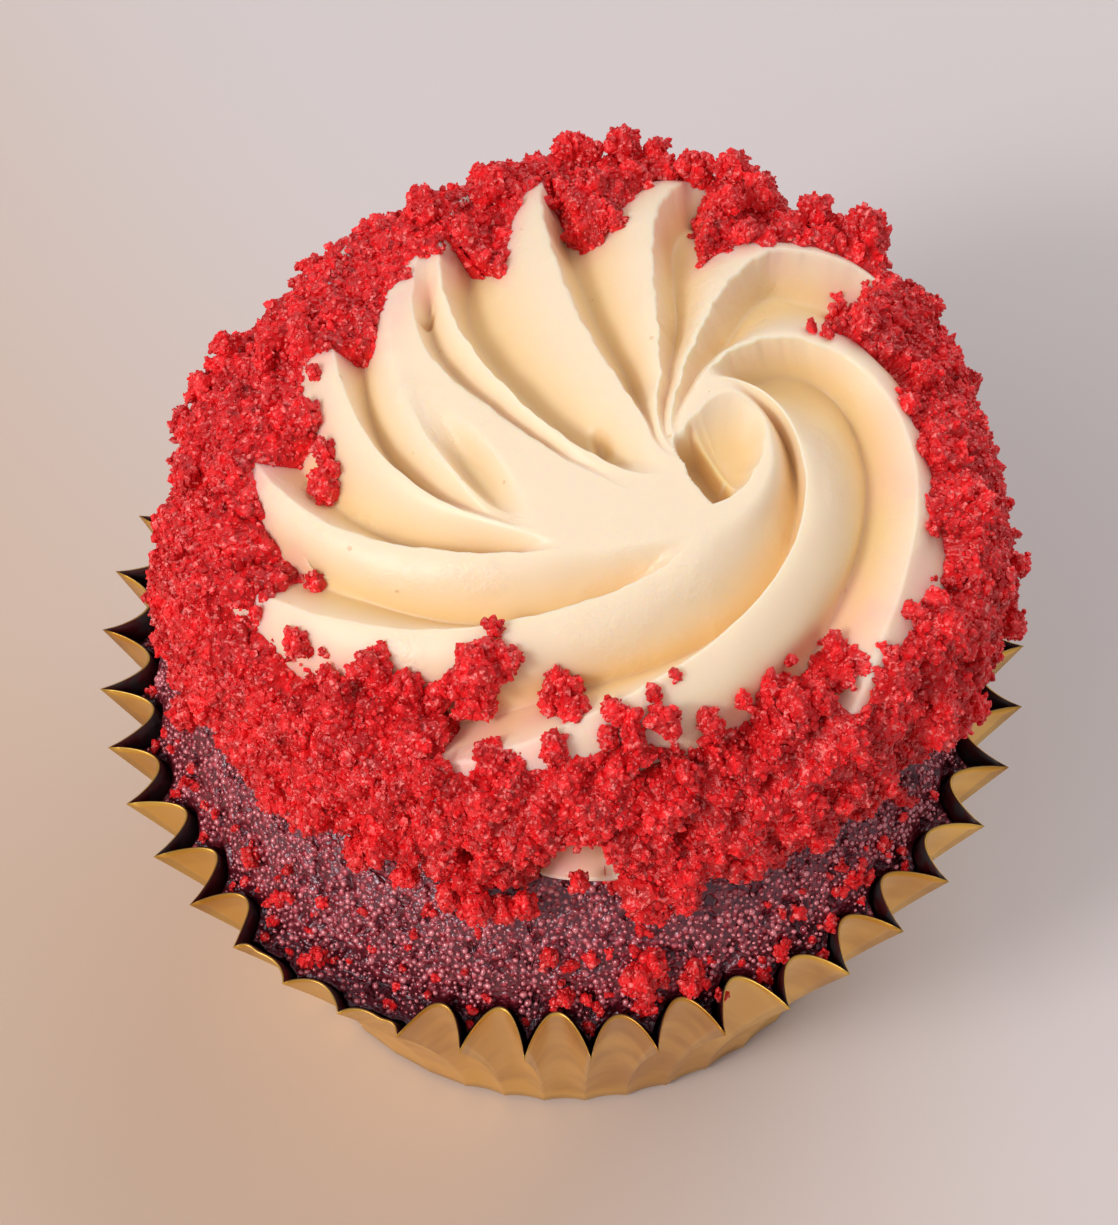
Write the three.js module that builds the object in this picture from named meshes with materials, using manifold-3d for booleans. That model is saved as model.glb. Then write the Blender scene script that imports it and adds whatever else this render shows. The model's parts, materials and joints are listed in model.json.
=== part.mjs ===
// A cupcake in a fluted foil case, with a piped cream swirl rolled in red cake crumbs.
// Millimetres, +Z up. The origin is at the centre of the case's flat base.

import * as THREE from 'three';
import { mergeVertices } from 'three/addons/utils/BufferGeometryUtils.js';
import Module from 'manifold-3d';

const wasm = await Module();
wasm.setup();

const DEG = Math.PI / 180;

// ---------------------------------------------------------------- driving dimensions

// The foil case: a standard baking cup, 50 mm across the base and 32 mm high.
const CASE = {
  baseRadius: 25,
  rimRadius: 35.9,
  height: 32,
  flutes: 44,
  firstTip: 151.2,
  baseFluteDepth: 0.5,
  rimFluteDepth: 3.6,
  flare: 1.25,
  wall: 0.55,
  floor: 0.5,
  cuspPower: 0.82,
  tipDrift: 2.4,
  driftBearing: 205,
  tipJitter: 0.35,
  pressedBearing: -122,
  pressedSpan: 14,
  pressedDepth: 0.3,
  stepsPerFlute: 4,
  levels: [0, 12, 32],
};

// The sponge: it fills the case to just inside the wall and domes above the rim.
const CAKE = {
  gap: 0.3,
  fluteShare: 0.3,
  stepsPerFlute: 2,
  wallLevels: [0.8, 12],
  edgeZ: 30.3,
  edgeRadius: 31.9,
  domeHeight: 13,
  domePower: 4,
  domeRound: 0.75,
  domeShares: [1, 0.985, 0.955, 0.91, 0.85, 0.77, 0.6, 0.3],
  pitting: 0.25,
  pitSize: 2.2,
  bareFrom: 2,
  speckLift: 0.35,
  specks: 26,
  speckMin: 0.45,
  speckMax: 0.95,
  speckBearings: [-200, 20],
  speckFrom: 27.5,
  speckTo: 30.6,
  speckClear: 2.6,
};

// The cream swirl: a low rosette whose ridges spiral out of an off-centre pit.
const SWIRL = {
  ring: [2.4, 2.5],
  pit: [11.8, -3.3],
  shoulderRadius: 26,
  bellyRadius: 29.6,
  bellyZ: 46,
  topHeight: 13,
  roundness: 2.5,
  drift: 1.4,
  shoulderSlope: 62,
  slopeFrom: 0.55,
  footRadius: 27.4,
  rootDepth: 2,
  underGap: 0.6,
  steepWidth: 1.7,
  fullWidth: 3.2,
  wallPower: 1.5,
  flankPower: 1.35,
  innerDepth: 0.8,
  depthGain: 0.4,
  sideCurl: 60,
  ringShares: [
    0.06, 0.12, 0.17, 0.22, 0.27, 0.33, 0.39, 0.46, 0.54, 0.62, 0.7, 0.78, 0.85, 0.91, 0.97,
    1.04, 1.16, 1.3, 1.46, 1.62, 1.76, 1.88, 2,
  ],
};

// Share of the shoulder radius at which each ridge's bearing is given.
const STATIONS = [0.1, 0.18, 0.25, 0.4, 0.6, 0.8, 1.0];

// One row for each ridge, clockwise from the back: its bearings in degrees at the
// stations, then the depth of the valley on its clockwise side, the share of the radius
// where that valley starts, and the number of mesh lines across it. A valley opens over
// the share `ease` and, where `end` is given, has closed again there.
const RIDGES = [
  { bearings: [174, 137, 126, 116, 107, 101, 96], depth: 2.9, start: 0.07, lines: 6 },
  { bearings: [158, 120, 100, 87, 81, 77, 72], depth: 2.8, start: 0.07, lines: 6 },
  { bearings: [142, 103, 86, 69, 59, 51, 38], depth: 2.8, start: 0.08, lines: 6 },
  { bearings: [124, 89, 72, 51, 30, 7, -40], depth: 3.2, start: 0.25, ease: 0.1, lines: 10 },
  { bearings: [100, 76, 62, -8, -49, -80, -104], depth: 2.9, start: 0.24, ease: 0.12, lines: 9 },
  { bearings: [-42, -60, -76, -87, -108, -127, -151], depth: 2.6, start: 0.29, ease: 0.2, lines: 6 },
  { bearings: [-60, -72, -84, -119, -139, -158, -186], depth: 2.5, start: 0.42, lines: 6 },
  { bearings: [-78, -88, -100, -130, -163, -201, -224], depth: 2.3, start: 0.43, lines: 5 },
  { bearings: [-96, -106, -116, -137, -189, -226, -249], depth: 0.5, start: 0.4, end: 0.66, lines: 4 },
  { bearings: [-116, -130, -160, -188, -206, -230, -251], depth: 1.7, start: 0.2, end: 0.84, lines: 4 },
  { bearings: [-150, -160, -177, -200, -219, -236, -252], depth: 2.8, start: 0.1, lines: 6 },
];
const VALLEY_EASE = 0.14;

// The pit at the heart of the swirl: a bowl with a deeper cleft along its steep left side.
const PIT = {
  middle: [11.6, -1.4],
  bowlDepth: 2.3,
  cleftDepth: 1.5,
  edgeStart: [10.4, -0.5],
  edgeBearing: -62,
  edgeWidth: 0.56,
  cleftPower: 4,
};

// The pit's rim: bearing about its middle, reach and how abruptly the wall drops there.
const PIT_RIM = [
  [-180, 3.3, 8], [-150, 3.0, 8], [-116, 3.9, 7], [-100, 4.8, 5], [-76, 3.8, 3.5],
  [-38, 2.8, 3], [11, 3.1, 2.6], [40, 4.2, 2], [63, 5.0, 1.5], [77, 5.0, 1.4],
  [91, 4.5, 1.4], [115, 3.3, 1.8], [151, 2.9, 4], [168, 3.4, 7], [180, 3.3, 8],
];

// The long oval groove on the left of the swirl.
const GROOVE = { middle: [-5.6, -2.4], bearing: -59, halfLength: 6.4, halfWidth: 1.75, depth: 1.15 };

// The crumb coat on the shoulder and the side of the cream.
const CRUMBS = {
  lumps: 1.0,
  lumpSize: 3.4,
  grit: 0.55,
  edgeWidth: 1.8,
  sideReach: 8,
  firstShare: 0.5,
  fullShare: 1.1,
  bellyShare: 1.3,
  clusters: 70,
  clusterMin: 0.9,
  clusterMax: 1.9,
  lastCluster: 1.93,
  footShrink: 0.6,
  shrinkFrom: 1.7,
  firstBearing: -260,
  loneLift: 0.4,
  ridgeShow: 0.25,
};

// Where the crumbs begin on top: bearing about the ring, and distance from its centre.
// Bare cream reaches furthest out along the ridges.
const CRUMB_EDGE = [
  [-180, 20], [-175, 24], [-165, 25], [-155, 25.6], [-152, 26.9], [-136, 27.2], [-132, 25.6],
  [-129, 24.4], [-122, 24.6], [-117, 25.4], [-113, 27], [-110, 26.8], [-104, 26.1],
  [-100, 25.5], [-96, 25.9], [-90, 25.2], [-84, 25.2], [-78, 26.2], [-71, 26.8], [-65, 26.7],
  [-61, 25.2], [-56, 25.3], [-52, 26.2], [-48, 26], [-39, 26.4], [-33, 26], [-27, 26.9],
  [-22, 27], [-18, 26], [-15, 25.1], [0, 23.9], [10, 23.2], [16, 23.8], [20, 20.9],
  [25, 19.4], [29, 22.5], [34, 26.3], [40, 26.1], [50, 21.5], [60, 16.8], [65, 21.5],
  [69, 27.4], [75, 27.2], [80, 22.3], [85, 17.6], [90, 17.4], [95, 23.8], [100, 22.9],
  [110, 16.2], [115, 14.2], [119, 20.2], [130, 18.9], [145, 17.2], [156, 16.7],
  [160, 20.5], [167, 21.5], [175, 20.3], [180, 20],
];

// Thickness of the coat: bearing, at the belly, and at the foot where crumbs have slid down.
const CRUST = [
  [-180, 2.2, 5.0], [-165, 3.4, 5.2], [-150, 3.2, 4.2], [-138, 2.8, 3.8], [-126, 2.4, 3.0],
  [-118, 2.2, 2.4], [-105, 2.6, 3.4], [-92, 1.8, 1.0], [-84, 2.2, 2.8], [-72, 2.2, 2.0],
  [-60, 1.9, 0.8], [-48, 2.0, 1.2], [-34, 2.6, 2.6], [-18, 3.2, 3.4], [0, 2.2, 3.0],
  [25, 1.6, 1.6], [40, 2.6, 1.2], [52, 1.6, 1.2], [70, 2.7, 1.2], [90, 2.8, 1.2],
  [100, 2.2, 1.2], [110, 0.7, 1.2], [122, 1.5, 1.2], [140, 0.5, 1.4], [152, 1.9, 2.4],
  [180, 2.2, 5.0],
];

// Larger crumbs that stand up from the coat or lie on the cream: bearing about the swirl,
// share of the way down and radius.
const LONE_CRUMBS = [
  [-129, 0.94, 1.9], [-123, 0.95, 1.6], [-114, 0.83, 2.4], [-111, 0.79, 1.6], [-117, 0.72, 0.9],
  [-98, 0.88, 2.0], [-89, 0.88, 1.0], [-85, 0.9, 1.5], [-81, 0.91, 1.4], [-78, 0.81, 0.6],
  [-72, 0.97, 1.5], [-66, 0.96, 0.9], [-59, 0.98, 1.6], [-55, 1.05, 1.5], [-46, 1.02, 1.7],
  [-32, 1.15, 1.7], [-31, 1.66, 1.6], [-109, 1.9, 1.6], [-103, 1.92, 1.4], [-4, 0.93, 1.7],
  [30, 0.66, 0.9], [25, 0.8, 1.5], [42, 1.1, 2.3], [50, 1.05, 2.0], [59, 0.97, 1.8],
  [91, 1.08, 1.7], [91, 0.83, 1.4], [119, 0.78, 1.4], [106, 0.91, 2.0], [120, 0.9, 2.2],
  [175, 0.82, 1.6], [-171, 0.82, 1.7], [158, 0.85, 1.8], [-151, 0.95, 1.0], [-142, 1.01, 1.2],
  [-18, 1.6, 1.5], [167, 1.28, 1.7],
];

// Larger crumbs that rest on the bare sponge at the front.
const FALLEN_CRUMBS = [
  { x: 5.3, y: -30.0, radius: 1.9 },
  { x: 8.5, y: -29.7, radius: 1.4 },
  { x: -1.4, y: -29.2, radius: 0.9 },
  { x: -0.5, y: -30.6, radius: 0.9 },
];

// The cutting block that keeps the cream and its crumbs clear of the sponge and the case.
const CLEARANCE = { floor: 20, reach: 50, radii: [31.4, 30.6, 29.2, 27, 24, 18, 9, 0], sides: 40 };

// Waves of the tips' uneven reach round the rim: even, so that opposite tips match.
const JITTER_TURNS = 14;

// Turn from one cluster of crumbs to the next, in degrees, so that they spread evenly.
const GOLDEN_ANGLE = 137.508;

const SEED = 20815;

// ---------------------------------------------------------------- small helpers

function randomSource(seed) {
  let state = seed;
  return () => {
    state = (state + 0x6d2b79f5) | 0;
    let t = Math.imul(state ^ (state >>> 15), 1 | state);
    t = (t + Math.imul(t ^ (t >>> 7), 61 | t)) ^ t;
    return ((t ^ (t >>> 14)) >>> 0) / 4294967296;
  };
}

const clamp = (x, low, high) => Math.min(high, Math.max(low, x));

function smoothstep(low, high, x) {
  const t = clamp((x - low) / (high - low), 0, 1);
  return t * t * (3 - 2 * t);
}

const mix = (a, b, t) => a + (b - a) * t;

// Smooth bumps of about one bump per `size`, from -1 to 1.
function bumps(x, y, z, size) {
  const a = (2 * Math.PI) / (size * 1.9);
  const first = Math.sin(a * (x + 0.6 * y)) * Math.cos(a * (y - 0.7 * z));
  const second = Math.sin(a * 1.7 * (z + 0.4 * x) + 1.3) * Math.cos(a * 1.6 * (x - 0.8 * y) + 0.4);
  return 0.6 * first + 0.5 * second;
}

// A rough value from -1 to 1 that changes from one place to the next.
function roughness(x, y, z) {
  const wave = Math.sin(x * 12.99 + y * 78.23 + z * 37.72) * 4375.85;
  return 2 * (wave - Math.floor(wave)) - 1;
}

// A monotone cubic through (stations, values); flat steps stay flat and nothing overshoots.
function curveThrough(stations, values, x) {
  const last = stations.length - 1;
  const slope = (i) => (values[i + 1] - values[i]) / (stations[i + 1] - stations[i]);
  const tangent = (i) => {
    if (i === 0) return slope(0);
    if (i === last) return slope(last - 1);
    const before = slope(i - 1);
    const after = slope(i);
    return before * after <= 0 ? 0 : (2 * before * after) / (before + after);
  };
  const at = clamp(x, stations[0], stations[last]);
  let i = 0;
  while (i < last - 1 && at > stations[i + 1]) i += 1;
  const span = stations[i + 1] - stations[i];
  const t = (at - stations[i]) / span;
  const rise = t * t * (3 - 2 * t);
  const lead = t * (1 - t) * (1 - t) * span;
  const trail = t * t * (1 - t) * span;
  return mix(values[i], values[i + 1], rise) + lead * tangent(i) - trail * tangent(i + 1);
}

// A closed mesh from rings of equal length and a pole at either end.
function closedRings(firstPole, rings, lastPole) {
  const positions = [...firstPole];
  rings.forEach((ring) => ring.forEach((point) => positions.push(...point)));
  positions.push(...lastPole);
  const count = rings[0].length;
  const index = [];
  const at = (ring, i) => 1 + ring * count + (i % count);
  for (let i = 0; i < count; i += 1) index.push(0, at(0, i + 1), at(0, i));
  for (let ring = 0; ring < rings.length - 1; ring += 1) {
    for (let i = 0; i < count; i += 1) {
      const a = at(ring, i);
      const b = at(ring, i + 1);
      const c = at(ring + 1, i);
      const d = at(ring + 1, i + 1);
      index.push(a, b, c, b, d, c);
    }
  }
  const end = positions.length / 3 - 1;
  const lastRing = rings.length - 1;
  for (let i = 0; i < count; i += 1) index.push(end, at(lastRing, i), at(lastRing, i + 1));
  const geometry = new THREE.BufferGeometry();
  geometry.setAttribute('position', new THREE.Float32BufferAttribute(positions, 3));
  geometry.setIndex(index);
  return geometry;
}

function toSolid(geometry) {
  const bare = geometry.clone();
  bare.deleteAttribute('normal');
  bare.deleteAttribute('uv');
  const merged = mergeVertices(bare, 1e-4);
  const vertProperties = new Float32Array(merged.attributes.position.array);
  const triVerts = new Uint32Array(merged.index.array);
  return new wasm.Manifold(new wasm.Mesh({ numProp: 3, vertProperties, triVerts }));
}

function toGeometry(solid) {
  const mesh = solid.getMesh();
  const geometry = new THREE.BufferGeometry();
  geometry.setAttribute('position', new THREE.Float32BufferAttribute(mesh.vertProperties, 3));
  geometry.setIndex(new THREE.Uint32BufferAttribute(mesh.triVerts, 1));
  geometry.computeVertexNormals();
  return geometry;
}

// The largest body of a solid: loose scraps left by the cuts are dropped.
function largestBody(solid) {
  return solid.decompose().reduce((best, body) => (body.volume() > best.volume() ? body : best));
}

// A rough grain: an icosahedron with each corner pushed in or out.
function grain(centre, radius, random) {
  const ball = new THREE.IcosahedronGeometry(radius, 0);
  ball.deleteAttribute('normal');
  ball.deleteAttribute('uv');
  const geometry = mergeVertices(ball);
  const position = geometry.attributes.position;
  const turn = new THREE.Euler(random() * 6.3, random() * 6.3, random() * 6.3);
  const corner = new THREE.Vector3();
  for (let i = 0; i < position.count; i += 1) {
    corner.fromBufferAttribute(position, i).applyEuler(turn);
    corner.multiplyScalar(mix(0.72, 1.22, random()));
    position.setXYZ(i, corner.x + centre[0], corner.y + centre[1], corner.z + centre[2]);
  }
  return toSolid(geometry);
}

// ---------------------------------------------------------------- the foil case

// Bearings of the flute tips, unevenly spaced as a pressed case's are.
function tipBearings() {
  const bearings = [];
  for (let n = 0; n < CASE.flutes; n += 1) {
    const even = CASE.firstTip + (n * 360) / CASE.flutes;
    const drift = CASE.tipDrift * Math.cos(2 * (even - CASE.driftBearing) * DEG);
    bearings.push((even + drift) * DEG);
  }
  return bearings;
}

// How far a flute is pressed flat at a bearing: 1 where it is untouched.
function fluteShare(bearing) {
  let away = (((bearing / DEG - CASE.pressedBearing) % 360) + 360) % 360;
  if (away > 180) away = 360 - away;
  return mix(CASE.pressedDepth, 1, smoothstep(CASE.pressedSpan * 0.6, CASE.pressedSpan, away));
}

const caseRise = (z) => clamp(z / CASE.height, 0, 1) ** CASE.flare;

// One ring of the wall: sharp tips that point outward and round arches between them.
// Share is how much of the flutes' depth the ring follows.
function caseRing(z, inset, share, steps) {
  const tips = tipBearings();
  const reach = mix(CASE.baseRadius, CASE.rimRadius, caseRise(z)) - inset;
  const fullDepth = mix(CASE.baseFluteDepth, CASE.rimFluteDepth, caseRise(z));
  const ring = [];
  tips.forEach((tip, n) => {
    const next = n + 1 < tips.length ? tips[n + 1] : tips[0] + 2 * Math.PI;
    const jitter = CASE.tipJitter * Math.sin(JITTER_TURNS * tip) * caseRise(z);
    for (let step = 0; step < steps; step += 1) {
      const f = step / steps;
      const bearing = mix(tip, next, f);
      const tipness = 1 - (4 * f * (1 - f)) ** CASE.cuspPower;
      const depth = fullDepth * fluteShare(bearing) + jitter;
      const radius = reach - depth * (1 - share * tipness);
      ring.push([radius * Math.cos(bearing), radius * Math.sin(bearing), z]);
    }
  });
  return ring;
}

function makeCase() {
  const wallRing = (z, inset) => caseRing(z, inset, 1, CASE.stepsPerFlute);
  const outer = CASE.levels.map((z) => wallRing(z, 0));
  const inner = CASE.levels.slice(1).reverse().map((z) => wallRing(z, CASE.wall));
  const foot = wallRing(0, CASE.wall).map(([x, y]) => [x, y, CASE.floor]);
  return closedRings([0, 0, 0], [...outer, ...inner, foot], [0, 0, CASE.floor]);
}

// ---------------------------------------------------------------- the sponge

// Height of the domed top at a distance from the middle.
function domeZ(radius) {
  const share = clamp(radius / CAKE.edgeRadius, 0, 1) ** CAKE.domePower;
  return CAKE.edgeZ + CAKE.domeHeight * (1 - share) ** CAKE.domeRound;
}

const fromRing = (x, y) => Math.hypot(x - SWIRL.ring[0], y - SWIRL.ring[1]);

const cakeRing = (z) => caseRing(z, CASE.wall + CAKE.gap, CAKE.fluteShare, CAKE.stepsPerFlute);

// One ring of the dome, at a share of the way out to the fluted edge.
function domeRing(share) {
  return cakeRing(CAKE.edgeZ).map(([x, y]) => {
    const px = x * share;
    const py = y * share;
    const foot = SWIRL.footRadius;
    const bare = smoothstep(foot, foot + CAKE.bareFrom, fromRing(px, py));
    const pits = CAKE.pitting * bumps(px, py, 0, CAKE.pitSize) * bare * smoothstep(1, 0.95, share);
    return [px, py, domeZ(Math.hypot(px, py)) + pits];
  });
}

// Crumbs that fell on the bare dome, kept clear of the coat on the cream.
function speckPlaces(random) {
  const places = [...FALLEN_CRUMBS];
  while (places.length < CAKE.specks) {
    const bearing = mix(...CAKE.speckBearings, random()) * DEG;
    const radius = mix(CAKE.speckMin, CAKE.speckMax, random() ** 2);
    const reach = mix(CAKE.speckFrom, CAKE.speckTo, random());
    const x = reach * Math.cos(bearing);
    const y = reach * Math.sin(bearing);
    if (fromRing(x, y) > coatReach(x, y) + CAKE.speckClear) places.push({ x, y, radius });
  }
  return places;
}

function makeCake(random) {
  const floor = CAKE.wallLevels[0];
  const wall = CAKE.wallLevels.map(cakeRing);
  const dome = CAKE.domeShares.map(domeRing);
  const body = closedRings([0, 0, floor], [...wall, ...dome], [0, 0, domeZ(0)]);
  const pieces = [toSolid(body)];
  speckPlaces(random).forEach(({ x, y, radius }) => {
    const z = domeZ(Math.hypot(x, y)) + radius * CAKE.speckLift;
    pieces.push(grain([x, y, z], radius, random));
  });
  return toGeometry(largestBody(wasm.Manifold.union(pieces)));
}

// ---------------------------------------------------------------- the cream swirl

// Centre of the nested circle at a share of the shoulder radius.
function swirlCentre(share) {
  const t = 1 - (1 - clamp(share, 0, 1)) ** SWIRL.drift;
  return [mix(SWIRL.pit[0], SWIRL.ring[0], t), mix(SWIRL.pit[1], SWIRL.ring[1], t)];
}

// Bearing of a ridge, counted on past the last so that the turns stay in order.
function ridgeBearing(k, share) {
  const turns = Math.floor(k / RIDGES.length);
  const row = RIDGES[k - turns * RIDGES.length];
  const beyond = Math.max(0, share - 1) * SWIRL.sideCurl;
  return curveThrough(STATIONS, row.bearings, share) - 360 * turns - beyond;
}

// Height of the ridge tops at a distance from the ring's centre.
function topZ(rho) {
  const share = clamp(rho / SWIRL.bellyRadius, 0, 1) ** SWIRL.roundness;
  return SWIRL.bellyZ + SWIRL.topHeight * (1 - share) ** (1 / SWIRL.roundness);
}

// Depth of the pit at a place on top.
function pitDepth(x, y) {
  const dx = x - PIT.middle[0];
  const dy = y - PIT.middle[1];
  const bearing = Math.atan2(dy, dx) / DEG;
  const share = clamp(Math.hypot(dx, dy) / aroundTable(PIT_RIM, 1, bearing), 0, 1);
  const bowl = PIT.bowlDepth * (1 - share ** aroundTable(PIT_RIM, 2, bearing));
  const c = Math.cos(PIT.edgeBearing * DEG);
  const s = Math.sin(PIT.edgeBearing * DEG);
  const beside = (y - PIT.edgeStart[1]) * c - (x - PIT.edgeStart[0]) * s;
  const inCleft = 1 - smoothstep(-PIT.edgeWidth, 0, beside);
  return bowl + PIT.cleftDepth * inCleft * (1 - share ** PIT.cleftPower);
}

// Depth of the oval groove at a place on top.
function grooveDepth(x, y) {
  const dx = x - GROOVE.middle[0];
  const dy = y - GROOVE.middle[1];
  const c = Math.cos(GROOVE.bearing * DEG);
  const s = Math.sin(GROOVE.bearing * DEG);
  const along = (dx * c + dy * s) / GROOVE.halfLength;
  const across = (dy * c - dx * s) / GROOVE.halfWidth;
  return GROOVE.depth * (1 - smoothstep(0.25, 1, Math.hypot(along, across)));
}

// Share of the way across a valley where its steep wall meets its round flank.
function steepShare(width) {
  return clamp(SWIRL.steepWidth / Math.max(width, 0.1), 0.1, 0.4);
}

// Depth of the valley at a fraction of the way from ridge k clockwise to the next.
function valleyDepth(k, fraction, share, width) {
  const row = RIDGES[k];
  const steep = steepShare(width);
  const open = smoothstep(row.start, row.start + (row.ease ?? VALLEY_EASE), share);
  const closed = row.end ? smoothstep(row.end - VALLEY_EASE, row.end, share) : 0;
  const narrow = Math.min(1, width / SWIRL.fullWidth);
  const wall = (1 - Math.min(1, fraction / steep)) ** SWIRL.wallPower;
  const turn = (Math.PI / 2) * clamp((fraction - steep) / (1 - steep), 0, 1);
  const level = fraction < steep ? wall : Math.sin(turn) ** SWIRL.flankPower;
  const gain = SWIRL.innerDepth + SWIRL.depthGain * Math.min(share, 1.1);
  return row.depth * open * (1 - closed) * narrow * gain * (1 - level);
}

// The value of one column of a table at a bearing; the first and last rows meet at -180.
function aroundTable(table, column, bearing) {
  const at = ((((bearing + 180) % 360) + 360) % 360) - 180;
  let i = 0;
  while (table[i + 1][0] < at) i += 1;
  const t = (at - table[i][0]) / (table[i + 1][0] - table[i][0]);
  return mix(table[i][column], table[i + 1][column], t);
}

// How far a place lies past the edge of the crumbs; negative on the bare cream.
function pastEdge(x, y, share) {
  const bearing = Math.atan2(y - SWIRL.ring[1], x - SWIRL.ring[0]) / DEG;
  const down = SWIRL.shoulderRadius + (share - 1) * CRUMBS.sideReach;
  return (share <= 1 ? fromRing(x, y) : down) - aroundTable(CRUMB_EDGE, 1, bearing);
}

// Distance from the ring's centre to the outside of the coat's foot, towards a place.
function coatReach(x, y) {
  const bearing = Math.atan2(y - SWIRL.ring[1], x - SWIRL.ring[0]) / DEG;
  return SWIRL.footRadius + aroundTable(CRUST, 2, bearing);
}

// Thickness of the crumb coat at a bearing, from the shoulder down to the foot.
function crustAt(bearing, share) {
  const belly = aroundTable(CRUST, 1, bearing);
  const foot = aroundTable(CRUST, 2, bearing);
  const side = mix(belly, foot, smoothstep(CRUMBS.bellyShare, 2, share));
  return side * smoothstep(CRUMBS.firstShare, CRUMBS.fullShare, share);
}

// The plain rosette without ridges: a place and the slope of its surface in degrees.
// Share runs from the pit (0) over the shoulder (1) and round the belly to the foot (2).
function rosettePlace(share, bearing) {
  const c = Math.cos(bearing * DEG);
  const s = Math.sin(bearing * DEG);
  const [cx, cy] = swirlCentre(share);
  if (share <= 1) {
    const x = cx + SWIRL.shoulderRadius * share * c;
    const y = cy + SWIRL.shoulderRadius * share * s;
    const slope = SWIRL.shoulderSlope * smoothstep(SWIRL.slopeFrom, 1, share);
    return { x, y, z: topZ(fromRing(x, y)) - pitDepth(x, y) - grooveDepth(x, y), slope };
  }
  const down = 2 * (share - 1);
  if (down < 1) {
    const rho = mix(SWIRL.shoulderRadius, SWIRL.bellyRadius, Math.sin((down * Math.PI) / 2));
    const slope = mix(SWIRL.shoulderSlope, 90, down);
    return { x: cx + rho * c, y: cy + rho * s, z: topZ(rho), slope };
  }
  const fall = down - 1;
  const footX = cx + SWIRL.footRadius * c;
  const footY = cy + SWIRL.footRadius * s;
  const footZ = domeZ(Math.hypot(footX, footY)) - SWIRL.rootDepth;
  const rho = mix(SWIRL.footRadius, SWIRL.bellyRadius, Math.sqrt(1 - fall * fall));
  return { x: cx + rho * c, y: cy + rho * s, z: mix(SWIRL.bellyZ, footZ, fall), slope: 90 };
}

// One point of the finished surface, with its valleys and its crumb coat.
function swirlPoint(k, fraction, share) {
  const from = ridgeBearing(k, share);
  const to = ridgeBearing(k + 1, share);
  const bearing = mix(from, to, fraction);
  const width = (from - to) * DEG * SWIRL.shoulderRadius * clamp(share, 0.05, 1);
  const depth = valleyDepth(k, fraction, share, width);
  const { x, y, z, slope } = rosettePlace(share, bearing);
  const coat = smoothstep(0, CRUMBS.edgeWidth, pastEdge(x, y, share));
  const relief = CRUMBS.lumps * bumps(x, y, z, CRUMBS.lumpSize) + CRUMBS.grit * roughness(x, y, z);
  const coated = crustAt(bearing, share) + relief - CRUMBS.ridgeShow * depth;
  const push = mix(-depth, coated, coat);
  const outward = push * Math.sin(slope * DEG);
  return [
    x + outward * Math.cos(bearing * DEG),
    y + outward * Math.sin(bearing * DEG),
    z + push * Math.cos(slope * DEG),
  ];
}

// The point of the finished surface at a bearing.
function pointAt(bearing, share) {
  let k = 0;
  while (ridgeBearing(k, share) < bearing) k -= RIDGES.length;
  while (ridgeBearing(k + 1, share) > bearing) k += 1;
  const from = ridgeBearing(k, share);
  const to = ridgeBearing(k + 1, share);
  const row = ((k % RIDGES.length) + RIDGES.length) % RIDGES.length;
  return swirlPoint(row, (from - bearing) / (from - to), share);
}

// One ring of the surface: mesh lines follow every ridge and the foot of its steep wall.
function swirlRing(share) {
  const ring = [];
  RIDGES.forEach((row, k) => {
    const span = (ridgeBearing(k, share) - ridgeBearing(k + 1, share)) * DEG;
    const steep = steepShare(span * SWIRL.shoulderRadius * clamp(share, 0.05, 1));
    for (let line = 0; line < row.lines; line += 1) {
      const rest = (line - 2) / (row.lines - 2);
      const fraction = line < 2 ? line * steep * 0.5 : mix(steep, 1, rest);
      ring.push(swirlPoint(k, fraction, share));
    }
  });
  return ring.reverse();
}

// A block as wide as the cupcake whose top is the dome raised by the gap under the cream.
function clearance() {
  const rimTop = CASE.height + CAKE.gap;
  const profile = [new THREE.Vector2(0, CLEARANCE.floor)];
  profile.push(new THREE.Vector2(CLEARANCE.reach, CLEARANCE.floor));
  profile.push(new THREE.Vector2(CLEARANCE.reach, rimTop));
  CLEARANCE.radii.forEach((radius) => {
    profile.push(new THREE.Vector2(radius, Math.max(rimTop, domeZ(radius) + SWIRL.underGap)));
  });
  const block = new THREE.LatheGeometry(profile, CLEARANCE.sides);
  block.rotateX(Math.PI / 2);
  return toSolid(block);
}

// The share at a bearing where the crumb coat begins.
function firstCoated(bearing) {
  let share = CRUMBS.firstShare;
  let place = rosettePlace(share, bearing);
  while (pastEdge(place.x, place.y, share) < CRUMBS.edgeWidth / 2) {
    share += 0.02;
    place = rosettePlace(share, bearing);
  }
  return share;
}

function makeFrosting(random) {
  const [px, py] = SWIRL.pit;
  const pole = [px, py, topZ(fromRing(px, py)) - pitDepth(px, py)];
  const rings = SWIRL.ringShares.map(swirlRing).reverse();
  const pieces = [toSolid(closedRings([0, 0, CASE.height - 4], rings, pole))];
  for (let i = 0; i < CRUMBS.clusters; i += 1) {
    const bearing = ((i * GOLDEN_ANGLE) % 360) + CRUMBS.firstBearing;
    const share = mix(firstCoated(bearing), CRUMBS.lastCluster, (i + 0.5) / CRUMBS.clusters);
    const size = mix(CRUMBS.clusterMin, CRUMBS.clusterMax, random());
    const shrink = mix(1, CRUMBS.footShrink, smoothstep(CRUMBS.shrinkFrom, 2, share));
    pieces.push(grain(pointAt(bearing, share), size * shrink, random));
  }
  LONE_CRUMBS.forEach(([bearing, share, radius]) => {
    const [x, y, z] = pointAt(bearing, share);
    pieces.push(grain([x, y, z + radius * CRUMBS.loneLift], radius, random));
  });
  return toGeometry(largestBody(wasm.Manifold.union(pieces).subtract(clearance())));
}

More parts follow.
